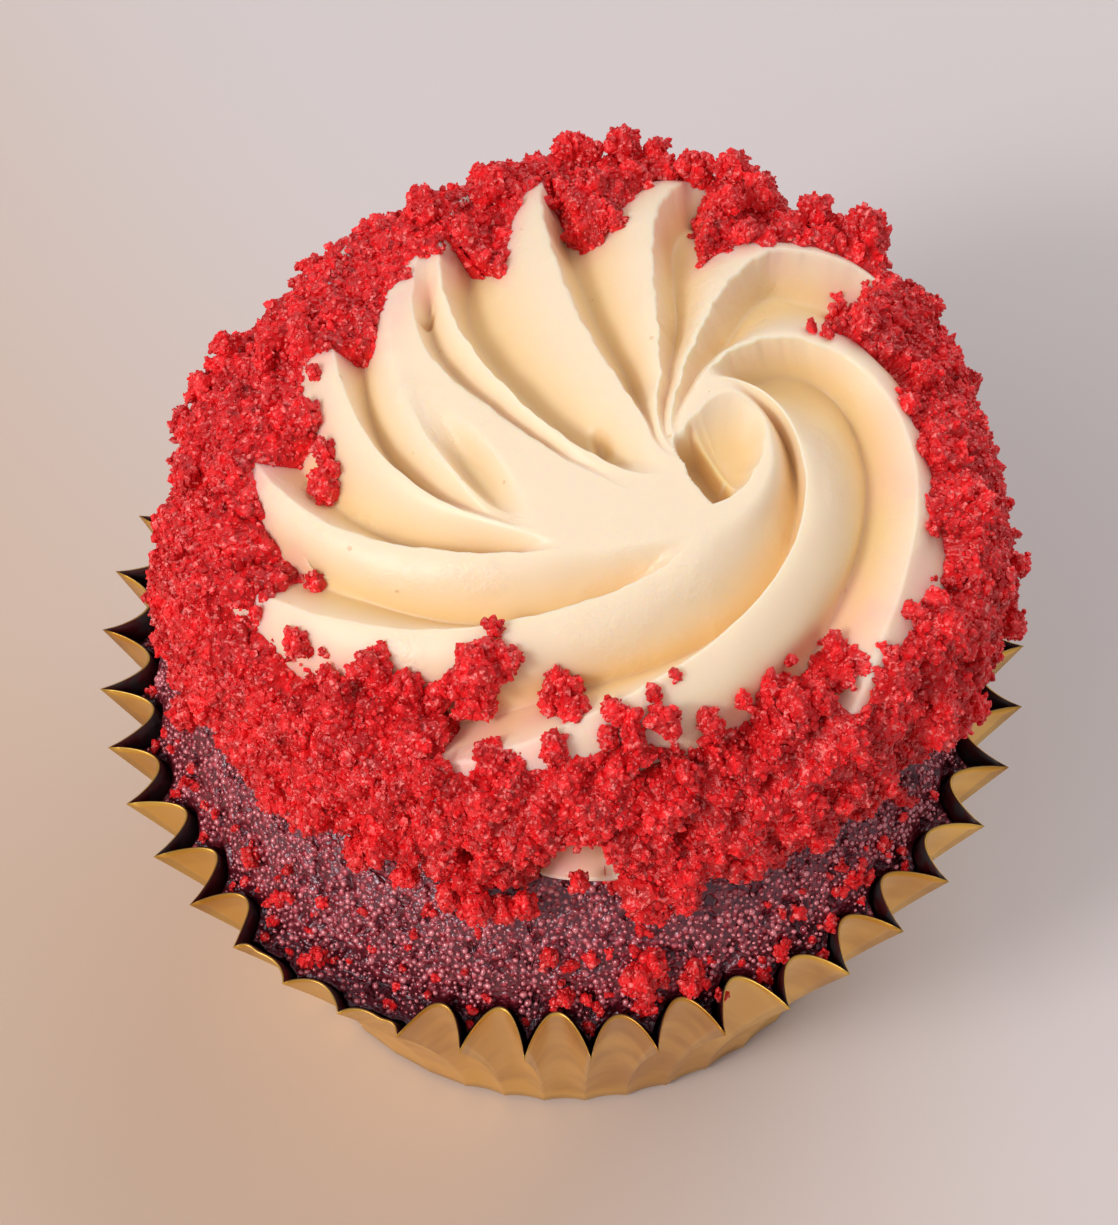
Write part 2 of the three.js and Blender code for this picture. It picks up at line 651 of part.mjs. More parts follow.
// ---------------------------------------------------------------- the group

function named(name, geometry, colour, roughness, metalness) {
  const material = new THREE.MeshStandardMaterial({ color: colour, roughness, metalness });
  const mesh = new THREE.Mesh(geometry, material);
  mesh.name = name;
  return mesh;
}

const random = randomSource(SEED);
const cupcake = new THREE.Group();
cupcake.add(named('case', makeCase(), 0xc9a25a, 0.35, 0.8));
cupcake.add(named('cake', makeCake(random), 0x4a1420, 0.6, 0));
cupcake.add(named('frosting', makeFrosting(random), 0xf3e2c0, 0.45, 0));

export default cupcake;
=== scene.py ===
"""A cupcake in a fluted gold foil case: a dark red sponge, a piped cream swirl and a ring of red cake crumbs.

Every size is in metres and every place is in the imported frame: the origin is the centre of the case's
base, with +Z up and -Y towards the viewer.
"""

import json
import logging
import math
import random
from dataclasses import dataclass
from enum import Enum
from typing import Any, Callable, Sequence

import bmesh
import bpy
import numpy as np
from mathutils import Matrix, Vector, noise

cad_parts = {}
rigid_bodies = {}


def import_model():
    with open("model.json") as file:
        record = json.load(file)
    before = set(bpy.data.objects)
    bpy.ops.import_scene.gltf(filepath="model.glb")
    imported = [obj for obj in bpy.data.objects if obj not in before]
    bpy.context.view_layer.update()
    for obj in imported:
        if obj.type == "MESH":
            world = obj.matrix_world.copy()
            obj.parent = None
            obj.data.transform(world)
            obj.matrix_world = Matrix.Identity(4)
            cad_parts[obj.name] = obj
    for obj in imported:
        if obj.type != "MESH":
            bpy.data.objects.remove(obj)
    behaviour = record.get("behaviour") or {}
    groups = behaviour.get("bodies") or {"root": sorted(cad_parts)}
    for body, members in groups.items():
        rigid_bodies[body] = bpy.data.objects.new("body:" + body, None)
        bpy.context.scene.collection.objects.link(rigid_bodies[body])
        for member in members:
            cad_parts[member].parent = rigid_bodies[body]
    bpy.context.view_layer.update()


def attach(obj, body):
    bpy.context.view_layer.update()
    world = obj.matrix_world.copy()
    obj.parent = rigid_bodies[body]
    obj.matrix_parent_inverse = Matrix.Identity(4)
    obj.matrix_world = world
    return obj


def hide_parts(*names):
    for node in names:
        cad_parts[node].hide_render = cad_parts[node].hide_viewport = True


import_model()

log = logging.getLogger("cupcake")

MM = 0.001
BODY = "root"
SEED = 20815
KNOB_SEED = 31

Array = np.ndarray
Socket = bpy.types.NodeSocket


# ---------------------------------------------------------------------- small maths


def mix(a: Any, b: Any, t: Any) -> Any:
    """Blend between two values.

    Args:
        a: The value at t = 0.
        b: The value at t = 1.
        t: The blend factor.

    Returns:
        The blended value or array.
    """
    return a + (b - a) * t


def smoothstep(low: float, high: float, x: Any) -> Any:
    """Rise smoothly from 0 at low to 1 at high.

    Args:
        low: Where the rise starts.
        high: Where the rise ends.
        x: The value or array to map.

    Returns:
        The mapped value or array.
    """
    t = np.clip((np.asarray(x, dtype=float) - low) / (high - low), 0.0, 1.0)
    return t * t * (3.0 - 2.0 * t)


def curve_through(stations: Sequence[float], values: Sequence[float], x: Array) -> Array:
    """Follow a monotone cubic through the given points, so that nothing overshoots.

    Args:
        stations: Rising places of the points.
        values: The value at each place.
        x: Where to read the curve; clamped to the first and last place.

    Returns:
        The curve's values.
    """
    at = np.asarray(stations, dtype=float)
    val = np.asarray(values, dtype=float)
    step = np.diff(at)
    slope = np.diff(val) / step
    tangent = np.empty_like(val)
    tangent[0], tangent[-1] = slope[0], slope[-1]
    before, after = slope[:-1], slope[1:]
    same = before * after > 0
    total = np.where(same, before + after, 1.0)
    tangent[1:-1] = np.where(same, 2.0 * before * after / total, 0.0)
    x = np.clip(x, at[0], at[-1])
    i = np.clip(np.searchsorted(at, x, side="right") - 1, 0, len(step) - 1)
    t = (x - at[i]) / step[i]
    rise = t * t * (3.0 - 2.0 * t)
    lead = t * (1.0 - t) ** 2 * step[i] * tangent[i]
    trail = t * t * (1.0 - t) * step[i] * tangent[i + 1]
    return mix(val[i], val[i + 1], rise) + lead - trail


def noise_at(points: Array, size: float, shift: float = 0.0) -> Array:
    """Read smooth noise from -1 to 1 at each point.

    Args:
        points: Places, in metres, one row each.
        size: Size of a bump, in metres.
        shift: Moves the pattern, so that two reads differ.

    Returns:
        One value for each point.
    """
    scaled = points / size + shift
    return np.array([noise.noise(Vector(p)) for p in scaled])


def cells_at(points: Array, size: float, shift: float = 0.0) -> Array:
    """Read round cells: 1 at a cell's middle, falling to about 0 in the creases between cells.

    Args:
        points: Places, in metres, one row each.
        size: Size of a cell, in metres.
        shift: Moves the pattern.

    Returns:
        One value for each point.
    """
    scaled = points / size + shift
    nearest = np.array([noise.voronoi(Vector(p))[0][0] for p in scaled])
    return 1.0 - np.clip(nearest / 0.85, 0.0, 1.0) ** 2


# ---------------------------------------------------------------------- mesh helpers


def mesh_object(name: str, vertices: Array, faces: Sequence[Sequence[int]], smooth: bool) -> bpy.types.Object:
    """Make an object from plain lists.

    Args:
        name: The object's name.
        vertices: Places in metres, one row each.
        faces: Vertex numbers of each face.
        smooth: Whether the faces are shaded smooth.

    Returns:
        The new object, linked to the scene.
    """
    mesh = bpy.data.meshes.new(name)
    mesh.from_pydata([tuple(v) for v in vertices], [], faces)
    mesh.polygons.foreach_set("use_smooth", [smooth] * len(mesh.polygons))
    mesh.update()
    made = bpy.data.objects.new(name, mesh)
    bpy.context.scene.collection.objects.link(made)
    return made


def ring_faces(rings: int, count: int) -> list[tuple[int, ...]]:
    """Faces of a closed skin made of rings with a pole before the first and after the last.

    Args:
        rings: The number of rings, ordered so that faces turn outwards.
        count: The number of points in each ring.

    Returns:
        The faces, for vertices ordered pole, rings, pole.
    """
    faces: list[tuple[int, ...]] = []
    last = rings * count + 1
    for i in range(count):
        j = (i + 1) % count
        faces.append((0, 1 + j, 1 + i))
        for ring in range(rings - 1):
            low, high = 1 + ring * count, 1 + (ring + 1) * count
            faces.append((low + i, low + j, high + j, high + i))
        top = 1 + (rings - 1) * count
        faces.append((last, top + i, top + j))
    return faces


def band_faces(pairs: Sequence[tuple[int, int]], count: int) -> list[tuple[int, ...]]:
    """Faces of an open skin between neighbouring rings.

    Args:
        pairs: The numbers of each two rings that are joined.
        count: The number of points in each ring.

    Returns:
        The faces, for vertices ordered ring by ring.
    """
    faces: list[tuple[int, ...]] = []
    for near, far in pairs:
        for i in range(count):
            j = (i + 1) % count
            faces.append((near * count + i, far * count + i, far * count + j, near * count + j))
    return faces


def ring_points(radius: Array, turn: Array, level: Array) -> Array:
    """Points of one ring round the middle.

    Args:
        radius: Distance of each point from the middle.
        turn: Bearing of each point, in radians.
        level: Height of each point.

    Returns:
        The points, one row each.
    """
    return np.stack([radius * np.cos(turn), radius * np.sin(turn), level], axis=1)


def coordinates(made: bpy.types.Object) -> Array:
    """Read the places of an object's vertices.

    Args:
        made: The object.

    Returns:
        The places, one row each.
    """
    flat = np.empty(len(made.data.vertices) * 3)
    made.data.vertices.foreach_get("co", flat)
    return flat.reshape(-1, 3)


def push_out(points: Array, push: Array, slope: Array, bearing: Array) -> None:
    """Move points along the surface's outward direction.

    Args:
        points: The places to move, one row each.
        push: How far each one goes.
        slope: How far the direction leans from upright, in radians.
        bearing: Where it leans to, in radians.
    """
    points[:, 0] += push * np.sin(slope) * np.cos(bearing)
    points[:, 1] += push * np.sin(slope) * np.sin(bearing)
    points[:, 2] += push * np.cos(slope)


def store(mesh: bpy.types.Mesh, name: str, values: Array) -> None:
    """Keep one number for each vertex as a named attribute.

    Args:
        mesh: The mesh to add to.
        name: The attribute's name.
        values: One value for each vertex.
    """
    layer = mesh.attributes.new(name, "FLOAT", "POINT")
    layer.data.foreach_set("value", np.asarray(values, dtype=np.float32))


def plain_copy(carrier: bpy.types.Object, name: str) -> bpy.types.Object:
    """Turn what a carrier's modifiers make into a plain mesh object, and remove the carrier.

    Args:
        carrier: The object with the modifiers.
        name: The new object's name.

    Returns:
        The plain object.
    """
    graph = bpy.context.evaluated_depsgraph_get()
    evaluated = carrier.evaluated_get(graph)
    mesh = bpy.data.meshes.new_from_object(evaluated, preserve_all_data_layers=True, depsgraph=graph)
    mesh.name = name
    finishes = [finish for finish in mesh.materials if finish is not None]
    mesh.materials.clear()
    mesh.materials.append(finishes[-1])
    mesh.polygons.foreach_set("material_index", [0] * len(mesh.polygons))
    source = carrier.data
    bpy.data.objects.remove(carrier)
    bpy.data.meshes.remove(source)
    made = bpy.data.objects.new(name, mesh)
    bpy.context.scene.collection.objects.link(made)
    return made


class Tree:
    """Adds nodes to a tree and wires them together."""

    def __init__(self, tree: bpy.types.NodeTree) -> None:
        """Start on a tree; its nodes are removed first."""
        self.tree = tree
        self.tree.nodes.clear()

    def node(self, kind: str, inputs: dict[Any, Any] | None = None, **settings: Any) -> bpy.types.Node:
        """Add one node.

        Args:
            kind: Blender's name for the node type.
            inputs: Values or sockets for its inputs, by name or number.
            **settings: The node's own options.

        Returns:
            The new node.
        """
        made = self.tree.nodes.new(kind)
        for key, value in settings.items():
            setattr(made, key, value)
        for key, value in (inputs or {}).items():
            self.feed(made.inputs[key], value)
        return made

    def feed(self, socket: Socket, value: Any) -> None:
        """Set an input.

        Args:
            socket: The input.
            value: A socket to link it to, or a plain value.
        """
        if isinstance(value, bpy.types.NodeSocket):
            self.tree.links.new(value, socket)
        else:
            socket.default_value = value

    def math(self, operation: str, *values: Any, clamp: bool = False) -> Socket:
        """Add a Math node.

        Args:
            operation: What it works out.
            *values: Its inputs, in order.
            clamp: Keep the result between 0 and 1.

        Returns:
            Its result.
        """
        node = self.node("ShaderNodeMath", operation=operation, use_clamp=clamp)
        for socket, value in zip(node.inputs, values):
            self.feed(socket, value)
        return node.outputs[0]

    def blend(self, factor: Any, a: Any, b: Any) -> Socket:
        """Blend two numbers.

        Args:
            factor: 0 gives a, 1 gives b.
            a: The first number.
            b: The second number.

        Returns:
            The blend.
        """
        node = self.node("ShaderNodeMix", data_type="FLOAT")
        for index, value in ((0, factor), (2, a), (3, b)):
            self.feed(node.inputs[index], value)
        return node.outputs[0]

    def colour(self, factor: Any, a: Any, b: Any) -> Socket:
        """Blend two colours.

        Args:
            factor: 0 gives a, 1 gives b.
            a: The first colour.
            b: The second colour.

        Returns:
            The blend.
        """
        node = self.node("ShaderNodeMix", data_type="RGBA")
        for index, value in ((0, factor), (6, a), (7, b)):
            self.feed(node.inputs[index], value)
        return node.outputs[2]

    def ramp(self, value: Any, low: float, high: float) -> Socket:
        """Rise smoothly from 0 to 1.

        Args:
            value: The number that drives the rise.
            low: Where the rise starts.
            high: Where it ends.

        Returns:
            A number from 0 to 1.
        """
        node = self.node("ShaderNodeMapRange", {"Value": value, "From Min": low, "From Max": high})
        node.interpolation_type = "SMOOTHSTEP"
        return node.outputs[0]

    def attribute(self, name: str) -> Socket:
        """Read a number that the mesh keeps under a name."""
        return self.node("ShaderNodeAttribute", attribute_name=name).outputs["Fac"]

    def object_place(self) -> Socket:
        """The shaded place, in the piece's own space."""
        return self.node("ShaderNodeTexCoord").outputs["Object"]

    def cells(self, place: Socket, size: float) -> Socket:
        """Distance from the nearest of many scattered points, about one for each size in metres."""
        return self.node("ShaderNodeTexVoronoi", {"Vector": place, "Scale": 1.0 / size}).outputs["Distance"]

    def scaled(self, vector: Socket, factor: Any) -> Socket:
        """A vector times a number."""
        return self.node("ShaderNodeVectorMath", {0: vector, "Scale": factor}, operation="SCALE").outputs[0]

    def keep(self, geometry: Socket, name: str, value: Any) -> Socket:
        """Store one number for each point of a geometry under a name."""
        given = {"Geometry": geometry, "Name": name, "Value": value}
        return self.node("GeometryNodeStoreNamedAttribute", given).outputs[0]

    def realized(self, geometry: Socket, finish: bpy.types.Material) -> None:
        """End a geometry tree with real meshes, dressed in one finish.

        Args:
            geometry: What the tree has made.
            finish: The material.
        """
        real = self.node("GeometryNodeRealizeInstances", {"Geometry": geometry})
        dressed = self.node("GeometryNodeSetMaterial", {"Geometry": real.outputs[0], "Material": finish})
        self.node("NodeGroupOutput", {"Geometry": dressed.outputs[0]})


# ---------------------------------------------------------------------- finishes


def linear(red: int, green: int, blue: int) -> tuple[float, float, float, float]:
    """Turn an everyday 0-255 colour into the linear values that shaders use.

    Args:
        red: Red, 0 to 255.
        green: Green, 0 to 255.
        blue: Blue, 0 to 255.

    Returns:
        Linear red, green, blue and an alpha of 1.
    """

    def one(value: int) -> float:
        """The linear value of one channel."""
        share = value / 255.0
        return share / 12.92 if share <= 0.04045 else ((share + 0.055) / 1.055) ** 2.4

    return one(red), one(green), one(blue), 1.0


class Finish:
    """A procedural material: subclasses wire their own nodes."""

    name: str = "finish"

    def material(self) -> bpy.types.Material:
        """Build the material once and return it.

        Returns:
            The material.
        """
        made = bpy.data.materials.get(self.name)
        if made is None:
            made = bpy.data.materials.new(self.name)
            made.use_nodes = True
            tree = Tree(made.node_tree)
            shader = tree.node("ShaderNodeBsdfPrincipled")
            self.wire(tree, shader)
            tree.node("ShaderNodeOutputMaterial", {"Surface": shader.outputs[0]})
        return made

    def wire(self, tree: Tree, shader: bpy.types.Node) -> None:
        """Wire the finish's nodes into the shader.

        Args:
            tree: The material's tree.
            shader: The shader that the finish feeds.
        """
        raise NotImplementedError

    @staticmethod
    def even(shader: bpy.types.Node, values: dict[str, Any]) -> None:
        """Set the shader's own inputs that are the same all over the surface."""
        for label, value in values.items():
            shader.inputs[label].default_value = value

    @staticmethod
    def grain(tree: Tree, size: float, detail: float = 2.0, rough: float = 0.5) -> Socket:
        """Noise in object space.

        Args:
            tree: The tree to add to.
            size: Size of a bump, in metres.
            detail: How many finer layers it has.
            rough: How strong the finer layers are.

        Returns:
            The noise, about 0 to 1.
        """
        values = {"Vector": tree.object_place(), "Scale": 0.5 / size, "Detail": detail, "Roughness": rough}
        return tree.node("ShaderNodeTexNoise", values).outputs[0]

    @staticmethod
    def bump(
        tree: Tree, height: Socket, distance: float, strength: float, under: Socket | None = None
    ) -> Socket:
        """Raise the surface in shading.

        Args:
            tree: The tree to add to.
            height: The relief, 0 to 1.
            distance: How high 1 stands, in metres.
            strength: How much of it shows.
            under: The bump that lies under this one.

        Returns:
            The bent normal.
        """
        values: dict[str, Any] = {"Height": height, "Distance": distance, "Strength": strength}
        if under is not None:
            values["Normal"] = under
        return tree.node("ShaderNodeBump", values).outputs[0]


@dataclass(frozen=True)
class CreamFinish(Finish):
    """Soft cream cheese icing: pale, slightly translucent, golden with painted shade in its valleys and
    hollows, and pink near the crumbs, where their dye bleeds in and their red light is painted on.
    """

    name: str = "cream_icing"
    light: tuple[float, ...] = linear(241, 220, 193)
    # Golden painted shade for the valleys and hollows.
    painted_shade: tuple[float, ...] = linear(234, 192, 118)
    # Pink near the crumbs: partly their dye bleeding in, partly painted red light bounced off them.
    stain: tuple[float, ...] = linear(249, 182, 174)
    speck: tuple[float, ...] = linear(206, 150, 84)
    speck_spacing: float = 3.4 * MM
    translucency: float = 1.8 * MM
    blotch_size: float = 2.2 * MM
    smear_size: float = 4.0 * MM
    streak_size: float = 0.5 * MM
    streak_depth: float = 0.2 * MM
    speck_depth: float = 0.12 * MM
    soft_size: float = 1.6 * MM
    soft_depth: float = 0.10 * MM
    sheen_size: float = 1.2 * MM
    roughness: tuple[float, float] = (0.34, 0.48)

    def wire(self, tree: Tree, shader: bpy.types.Node) -> None:
        """Wire the cream's colour with painted shade in its valleys, its pink of crumb dye and painted red
        bounce light, translucency, fine texture and rare specks.

        Args:
            tree: The material's tree.
            shader: Its shader.
        """
        # Nearness to the crumbs, for their dye and their painted red bounce light.
        near = tree.attribute("stain")
        # Painted shade: golden in the valleys and hollows, by their depth.
        plain = tree.colour(tree.math("MULTIPLY", tree.attribute("valley"), 0.7), self.light, self.painted_shade)
        dots = tree.cells(tree.object_place(), self.speck_spacing)
        dot = tree.math("SUBTRACT", 1.0, tree.ramp(dots, 0.02, 0.065))
        base = tree.colour(tree.math("MULTIPLY", dot, 0.35), plain, self.speck)
        blotch = tree.ramp(self.grain(tree, self.blotch_size, 3.0), 0.35, 0.7)
        pink = tree.math("MULTIPLY", near, tree.blend(blotch, 0.2, 0.75), clamp=True)
        tree.feed(shader.inputs["Base Color"], tree.colour(pink, base, self.stain))
        smeared = tree.ramp(self.grain(tree, self.smear_size, 2.0), 0.5, 0.62)
        smear = tree.math("MULTIPLY", smeared, self.grain(tree, self.streak_size, 3.0, 0.65))
        fine = self.bump(tree, smear, self.streak_depth, 0.7)
        pits = self.bump(tree, tree.math("SUBTRACT", 1.0, dot), self.speck_depth, 0.5, fine)
        soft = self.bump(tree, self.grain(tree, self.soft_size, 2.0), self.soft_depth, 0.5, pits)
        tree.feed(shader.inputs["Normal"], soft)
        tree.feed(shader.inputs["Roughness"], tree.blend(self.grain(tree, self.sheen_size), *self.roughness))
        self.even(shader, {"Specular IOR Level": 0.42, "Subsurface Weight": 0.6})
        self.even(shader, {"Subsurface Radius": (1.0, 0.7, 0.32), "Subsurface Scale": self.translucency})


@dataclass(frozen=True)
class CrumbFinish(Finish):
    """Bright red cake crumbs: porous, moist and full of tiny glints, with pale flecks of painted highlight.
    """

    name: str = "crumb_red"
    dark: tuple[float, ...] = linear(178, 0, 6)
    bright: tuple[float, ...] = linear(255, 34, 40)
    # Pale pink flecks: painted highlights.
    pale: tuple[float, ...] = linear(255, 140, 134)
    patch_size: float = 0.8 * MM
    painted_glint_size: float = 0.22 * MM
    pore_size: float = 0.3 * MM
    pore_depth: float = 0.24 * MM
    roughness: tuple[float, float] = (0.16, 0.7)

    def wire(self, tree: Tree, shader: bpy.types.Node) -> None:
        """Wire the crumbs' varied reds, their pale flecks of painted highlight and their rough, glinting
        skin.

        Args:
            tree: The material's tree.
            shader: Its shader.
        """
        cloud = tree.ramp(self.grain(tree, self.patch_size, 4.0, 0.65), 0.36, 0.66)
        patch = tree.math("MULTIPLY", cloud, 0.6)
        # The bed keeps no tone, so it reads 0 here and comes out darker: painted shade under the clumps and
        # grains.
        own = tree.math("MULTIPLY", tree.attribute("tone"), 0.4)
        base = tree.colour(tree.math("ADD", patch, own, clamp=True), self.dark, self.bright)
        # Painted highlights: small pale flecks over the red.
        dots = tree.ramp(self.grain(tree, self.painted_glint_size, 2.0), 0.58, 0.67)
        painted_glint = tree.math("MULTIPLY", dots, 0.66)
        pores = self.bump(tree, self.grain(tree, self.pore_size, 3.0, 0.6), self.pore_depth, 0.8)
        tree.feed(shader.inputs["Base Color"], tree.colour(painted_glint, base, self.pale))
        tree.feed(shader.inputs["Normal"], pores)
        tree.feed(shader.inputs["Roughness"], tree.blend(self.grain(tree, self.pore_size), *self.roughness))
        self.even(shader, {"Specular IOR Level": 0.5})


@dataclass(frozen=True)
class SpongeFinish(Finish):
    """The baked skin of the dark red sponge: knobbly, moist, purplish where light grazes it, with painted
    shade between its pebbles and near the case's rim.
    """

    name: str = "sponge_skin"
    # Painted shade in the creases between the pebbles.
    painted_crevice_shade: tuple[float, ...] = linear(84, 4, 16)
    dark: tuple[float, ...] = linear(166, 28, 42)
    light: tuple[float, ...] = linear(222, 94, 108)
    # Painted shade near the case's rim.
    edge: tuple[float, ...] = linear(78, 8, 20)
    pebble_size: float = 0.62 * MM
    bead_size: float = 0.34 * MM
    bend_size: float = 0.7 * MM
    bend_reach: float = 0.5 * MM
    patch_size: float = 0.5 * MM
    pebble_depth: float = 0.14 * MM
    bead_depth: float = 0.05 * MM
    sheen_size: float = 0.6 * MM
    roughness: tuple[float, float] = (0.24, 0.44)
    glint: tuple[float, ...] = (0.94, 0.88, 1.0, 1.0)

    def wire(self, tree: Tree, shader: bpy.types.Node) -> None:
        """Wire the sponge's packed pebbles, with painted shade between them and near the case's rim, and
        moist on top.

        Args:
            tree: The material's tree.
            shader: Its shader.
        """
        place = tree.object_place()
        waves = {"Vector": place, "Scale": 0.5 / self.bend_size, "Detail": 2.0}
        shift = tree.scaled(tree.node("ShaderNodeTexNoise", waves).outputs[1], self.bend_reach)
        bent = tree.node("ShaderNodeVectorMath", {0: place, 1: shift}, operation="ADD").outputs[0]
        pebble = tree.math("SUBTRACT", 1.0, tree.ramp(tree.cells(bent, self.pebble_size), 0.05, 0.62))
        bead = tree.math("SUBTRACT", 1.0, tree.ramp(tree.cells(bent, self.bead_size), 0.05, 0.62))
        patch = tree.ramp(self.grain(tree, self.patch_size, 3.0, 0.6), 0.38, 0.64)
        skin = tree.colour(patch, self.dark, self.light)
        large, little = tree.math("MULTIPLY", pebble, 0.9), tree.math("MULTIPLY", bead, 0.3)
        # Painted shade: the colour darkens in the creases between pebbles.
        base = tree.colour(tree.math("ADD", large, little, clamp=True), self.painted_crevice_shade, skin)
        # Painted shade near the case's rim, stored by height.
        tree.feed(shader.inputs["Base Color"], tree.colour(tree.attribute("rim"), base, self.edge))
        small = self.bump(tree, bead, self.bead_depth, 1.0)
        tree.feed(shader.inputs["Normal"], self.bump(tree, pebble, self.pebble_depth, 1.0, small))
        tree.feed(shader.inputs["Roughness"], tree.blend(self.grain(tree, self.sheen_size), *self.roughness))
        self.moisten(shader)

    def moisten(self, shader: bpy.types.Node) -> None:
        """Give the moist skin its strong, faintly lilac glints."""
        self.even(shader, {"Specular IOR Level": 1.0, "IOR": 1.5, "Specular Tint": self.glint})


@dataclass(frozen=True)
class KnobFinish(SpongeFinish):
    """The smooth, glossy grains on the sponge's skin."""

    name: str = "sponge_knob"
    dark: tuple[float, ...] = linear(150, 24, 40)
    light: tuple[float, ...] = linear(228, 128, 136)
    patch_size: float = 0.4 * MM
    ripple_size: float = 0.2 * MM
    ripple_depth: float = 0.06 * MM
    roughness: tuple[float, float] = (0.12, 0.32)

    def wire(self, tree: Tree, shader: bpy.types.Node) -> None:
        """Wire the grains' varied reds and their even gloss.

        Args:
            tree: The material's tree.
            shader: Its shader.
        """
        tone = tree.ramp(self.grain(tree, self.patch_size, 2.0, 0.6), 0.36, 0.66)
        tree.feed(shader.inputs["Base Color"], tree.colour(tone, self.dark, self.light))
        tree.feed(shader.inputs["Roughness"], tree.blend(self.grain(tree, self.sheen_size), *self.roughness))
        ripple = self.bump(tree, self.grain(tree, self.ripple_size, 1.0), self.ripple_depth, 0.8)
        tree.feed(shader.inputs["Normal"], ripple)
        self.moisten(shader)
        self.even(shader, {"Coat Weight": 0.9, "Coat Roughness": 0.12, "Coat IOR": 1.7})


@dataclass(frozen=True)
class FoilFinish(Finish):
    """Gold foil outside; inside it is dark with grease and stuck cake, and its dark grey is partly a painted
    reflection of the dark cake.
    """

    name: str = "foil_gold"
    gold: tuple[float, ...] = linear(238, 190, 90)
    bronze: tuple[float, ...] = linear(202, 144, 54)
    # The inside's dark grey: partly greasy lining, partly painted reflection of the dark cake.
    dark: tuple[float, ...] = linear(46, 40, 42)
    stuck: tuple[float, ...] = linear(58, 8, 14)
    cloud_size: float = 5.0 * MM
    stuck_size: float = 1.4 * MM
    wrinkle_size: float = 1.5 * MM
    wrinkle_depth: float = 0.15 * MM
    metallic: float = 0.85
    roughness: tuple[float, float] = (0.34, 0.38)

    def wire(self, tree: Tree, shader: bpy.types.Node) -> None:
        """Wire the two sides of the foil.

        Args:
            tree: The material's tree.
            shader: Its shader.
        """
        side = tree.attribute("inside")
        cloud = self.grain(tree, self.cloud_size, 3.0)
        outer = tree.colour(tree.ramp(cloud, 0.4, 0.7), self.gold, self.bronze)
        cake = tree.ramp(self.grain(tree, self.stuck_size, 4.0, 0.6), 0.44, 0.56)
        # Inside: dark grey, partly grease and partly painted reflection of the cake, with patches of stuck
        # cake.
        inner = tree.colour(cake, self.dark, self.stuck)
        tree.feed(shader.inputs["Base Color"], tree.colour(side, outer, inner))
        tree.feed(shader.inputs["Metallic"], tree.blend(side, self.metallic, 0.0))
        tree.feed(shader.inputs["Roughness"], tree.blend(side, *self.roughness))
        wrinkle = self.bump(tree, self.grain(tree, self.wrinkle_size, 3.0), self.wrinkle_depth, 0.35)
        tree.feed(shader.inputs["Normal"], wrinkle)


@dataclass(frozen=True)
class TableFinish(Finish):
    """A plain pale painted surface."""

    name: str = "table_pale"
    pale: tuple[float, ...] = linear(207, 197, 197)
    # Painted warm light bounced off the gold foil, to the left and in front.
    painted_bounce: tuple[float, ...] = linear(199, 173, 154)
    fade: tuple[float, float] = (-60 * MM, 40 * MM)

    def wire(self, tree: Tree, shader: bpy.types.Node) -> None:
        """Wire the table's pale colour, with painted warm light bounced off the gold foil to the left and in
        front.

        Args:
            tree: The material's tree.
            shader: Its shader.
        """
        place = tree.node("ShaderNodeSeparateXYZ", {0: tree.object_place()}).outputs
        side = tree.math("ADD", place["X"], tree.math("MULTIPLY", place["Y"], 0.6))
        far = tree.ramp(side, *self.fade)
        tree.feed(shader.inputs["Base Color"], tree.colour(far, self.painted_bounce, self.pale))
        self.even(shader, {"Roughness": 0.6})


# ---------------------------------------------------------------------- the foil case


